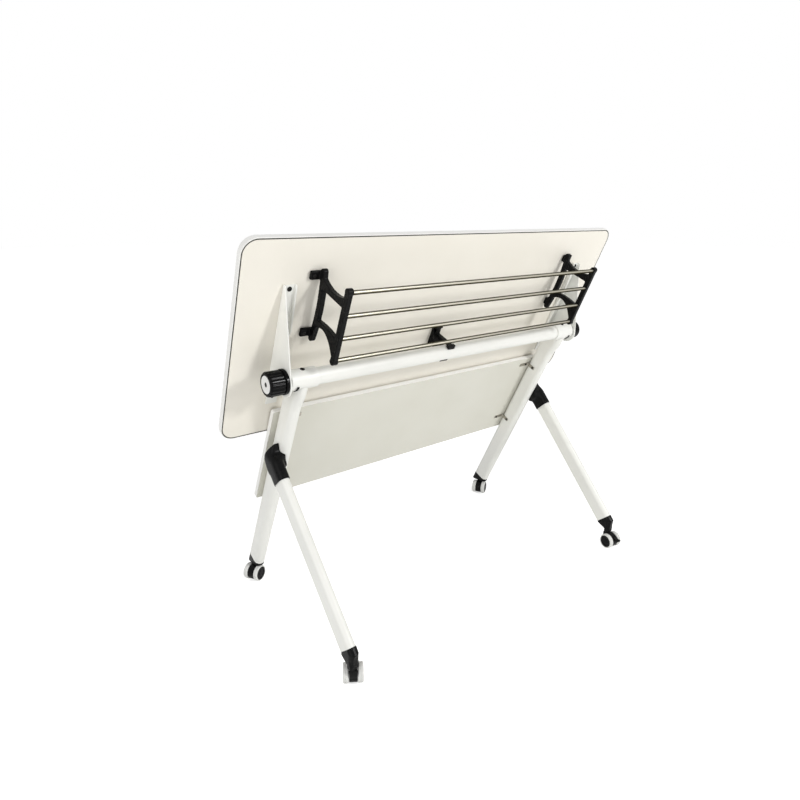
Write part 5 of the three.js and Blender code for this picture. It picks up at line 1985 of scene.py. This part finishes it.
    def dress(self) -> None:
        """Sets out the casters' pieces."""
        for corner in Corner:
            place = self.stance.caster(corner)
            label = corner.label
            set_out(f"caster_{label}_housing", self.build_body(corner.braked), place, MOULDED_NYLON,
                    f"caster_{label}", [f"caster_body_{label}"])
            fasten(f"axle_{label}", PLATED_STEEL)
            for hand in Side:
                node = hand.named(f"wheel_{label}")
                set_out(f"{node}_tread", self.build_tread(hand), place, WHITE_TREAD, node,
                        [node])
                set_out(f"{node}_hub", self.build_hub(hand), place, GLOSS_NYLON, node)
            if corner.braked:
                set_out(f"caster_{label}_lever", self.build_lever(), place, MOULDED_NYLON,
                        f"brake_{label}", [f"brake_lever_{label}"])


@dataclass
class Studio:
    """The floor, the light and the camera."""

    stance: Stance
    floor_size: float = 40.0
    floor_colour: Colour = (0.94, 0.94, 0.93)
    floor_glow: float = 0.6
    ambient: float = 0.45
    camera_offset: tuple[float, float, float] = (-1102.92, -1148.07, 346.89)
    camera_yaw: float = 38.858
    camera_pitch: float = -16.944
    camera_roll: float = 0.134
    focal_pixels: float = 610.5
    image_pixels: float = 800.0
    sensor: float = 36.0

    def seen_directly(self, tree: bpy.types.NodeTree) -> bpy.types.NodeSocket:
        """Tells the rays that show the background: those of the camera, of gloss and of glass.

        Args:
            tree: The node tree that uses it.

        Returns:
            One for such a ray, nought for the others.
        """
        path = tree.nodes.new("ShaderNodeLightPath")
        total = path.outputs["Is Camera Ray"]
        for name in ("Is Glossy Ray", "Is Transmission Ray"):
            either = tree.nodes.new("ShaderNodeMath")
            either.operation = "MAXIMUM"
            tree.links.new(total, either.inputs[0])
            tree.links.new(path.outputs[name], either.inputs[1])
            total = either.outputs[0]
        return total

    def build_world(self) -> None:
        """Makes a white background that lights the table evenly."""
        world = bpy.data.worlds.new("studio")
        world.use_nodes = True
        tree = world.node_tree
        tree.nodes.clear()
        soft, seen = (tree.nodes.new("ShaderNodeBackground") for _ in range(2))
        soft.inputs["Color"].default_value = (1, 1, 1, 1)
        soft.inputs["Strength"].default_value = self.ambient
        seen.inputs["Color"].default_value = (1, 1, 1, 1)
        seen.inputs["Strength"].default_value = 1.0
        mix = tree.nodes.new("ShaderNodeMixShader")
        output = tree.nodes.new("ShaderNodeOutputWorld")
        tree.links.new(self.seen_directly(tree), mix.inputs["Fac"])
        tree.links.new(soft.outputs[0], mix.inputs[1])
        tree.links.new(seen.outputs[0], mix.inputs[2])
        tree.links.new(mix.outputs[0], output.inputs["Surface"])
        bpy.context.scene.world = world

    def build_floor(self) -> None:
        """Lays the pale floor, which keeps the table's shadow."""
        plane = Stock()
        bmesh.ops.create_grid(plane.bm, x_segments=1, y_segments=1, size=self.floor_size / 2)
        floor = plane.as_object("studio_floor")
        material = bpy.data.materials.new("studio_floor")
        material.use_nodes = True
        tree = material.node_tree
        matt = tree.nodes["Principled BSDF"]
        matt.inputs["Base Color"].default_value = (*self.floor_colour, 1)
        matt.inputs["Roughness"].default_value = 0.9
        matt.inputs["Specular IOR Level"].default_value = 0.0
        glow = tree.nodes.new("ShaderNodeEmission")
        share = tree.nodes.new("ShaderNodeMath")
        share.operation = "MULTIPLY"
        share.inputs[1].default_value = self.floor_glow
        tree.links.new(self.seen_directly(tree), share.inputs[0])
        tree.links.new(share.outputs[0], glow.inputs["Strength"])
        both = tree.nodes.new("ShaderNodeAddShader")
        tree.links.new(matt.outputs[0], both.inputs[0])
        tree.links.new(glow.outputs[0], both.inputs[1])
        tree.links.new(both.outputs[0], tree.nodes["Material Output"].inputs["Surface"])
        floor.data.materials.append(material)

    def hang_lamp(self, name: str, place: Vector, target: Vector, size: float, power: float) -> None:
        """Hangs a soft square lamp.

        Args:
            name: The lamp's name.
            place: Where it hangs, in metres.
            target: What it points at.
            size: The length of its sides, in metres.
            power: Its power, in watts.
        """
        lamp = bpy.data.lights.new(name, "AREA")
        lamp.size = size
        lamp.energy = power
        hung = bpy.data.objects.new(name, lamp)
        hung.location = place
        hung.rotation_euler = (target - place).to_track_quat("-Z", "Y").to_euler()
        bpy.context.scene.collection.objects.link(hung)

    def build_camera(self) -> None:
        """Sets the camera at the photograph's view."""
        camera = bpy.data.cameras.new("camera")
        camera.sensor_width = self.sensor
        camera.lens = self.sensor * self.focal_pixels / self.image_pixels
        camera.clip_end = 100
        stand = bpy.data.objects.new("camera", camera)
        place = (self.stance.pivot.translation + Vector(self.camera_offset)) * MM
        turn = Matrix.Rotation(math.radians(-self.camera_yaw), 4, "Z")
        tilt = Matrix.Rotation(math.radians(90 + self.camera_pitch), 4, "X")
        roll = Matrix.Rotation(math.radians(self.camera_roll), 4, "Z")
        stand.matrix_world = Matrix.Translation(place) @ turn @ tilt @ roll
        bpy.context.scene.collection.objects.link(stand)
        bpy.context.scene.camera = stand

    def set_up(self) -> None:
        """Builds the whole studio."""
        self.build_world()
        self.build_floor()
        middle = self.stance.pivot.translation * MM
        self.hang_lamp("key_lamp", Vector((1.05, -2.78, 2.0)), middle, 0.5, 45.0)
        self.hang_lamp("low_lamp", Vector((0.98, -2.85, 1.1)), middle, 0.35, 7.0)
        self.hang_lamp("fill_lamp", Vector((-2.9, -1.2, 1.5)), middle, 2.0, 34.0)
        self.build_camera()
        bpy.context.scene.view_settings.view_transform = "Standard"


def main() -> None:
    """Builds the table's sub-assemblies in order, then the studio."""
    logging.basicConfig(level=logging.INFO, format="%(name)s: %(message)s")
    stance = Stance()
    for assembly in (TableTop(stance), PivotLine(stance), Legs(stance), ModestyPanel(stance),
                     SupportArms(stance), BookRack(stance), HookLatch(stance), Casters(stance)):
        LOG.info("building %s", type(assembly).__name__)
        assembly.dress()
    Studio(stance).set_up()


if __name__ == "__main__":
    main()
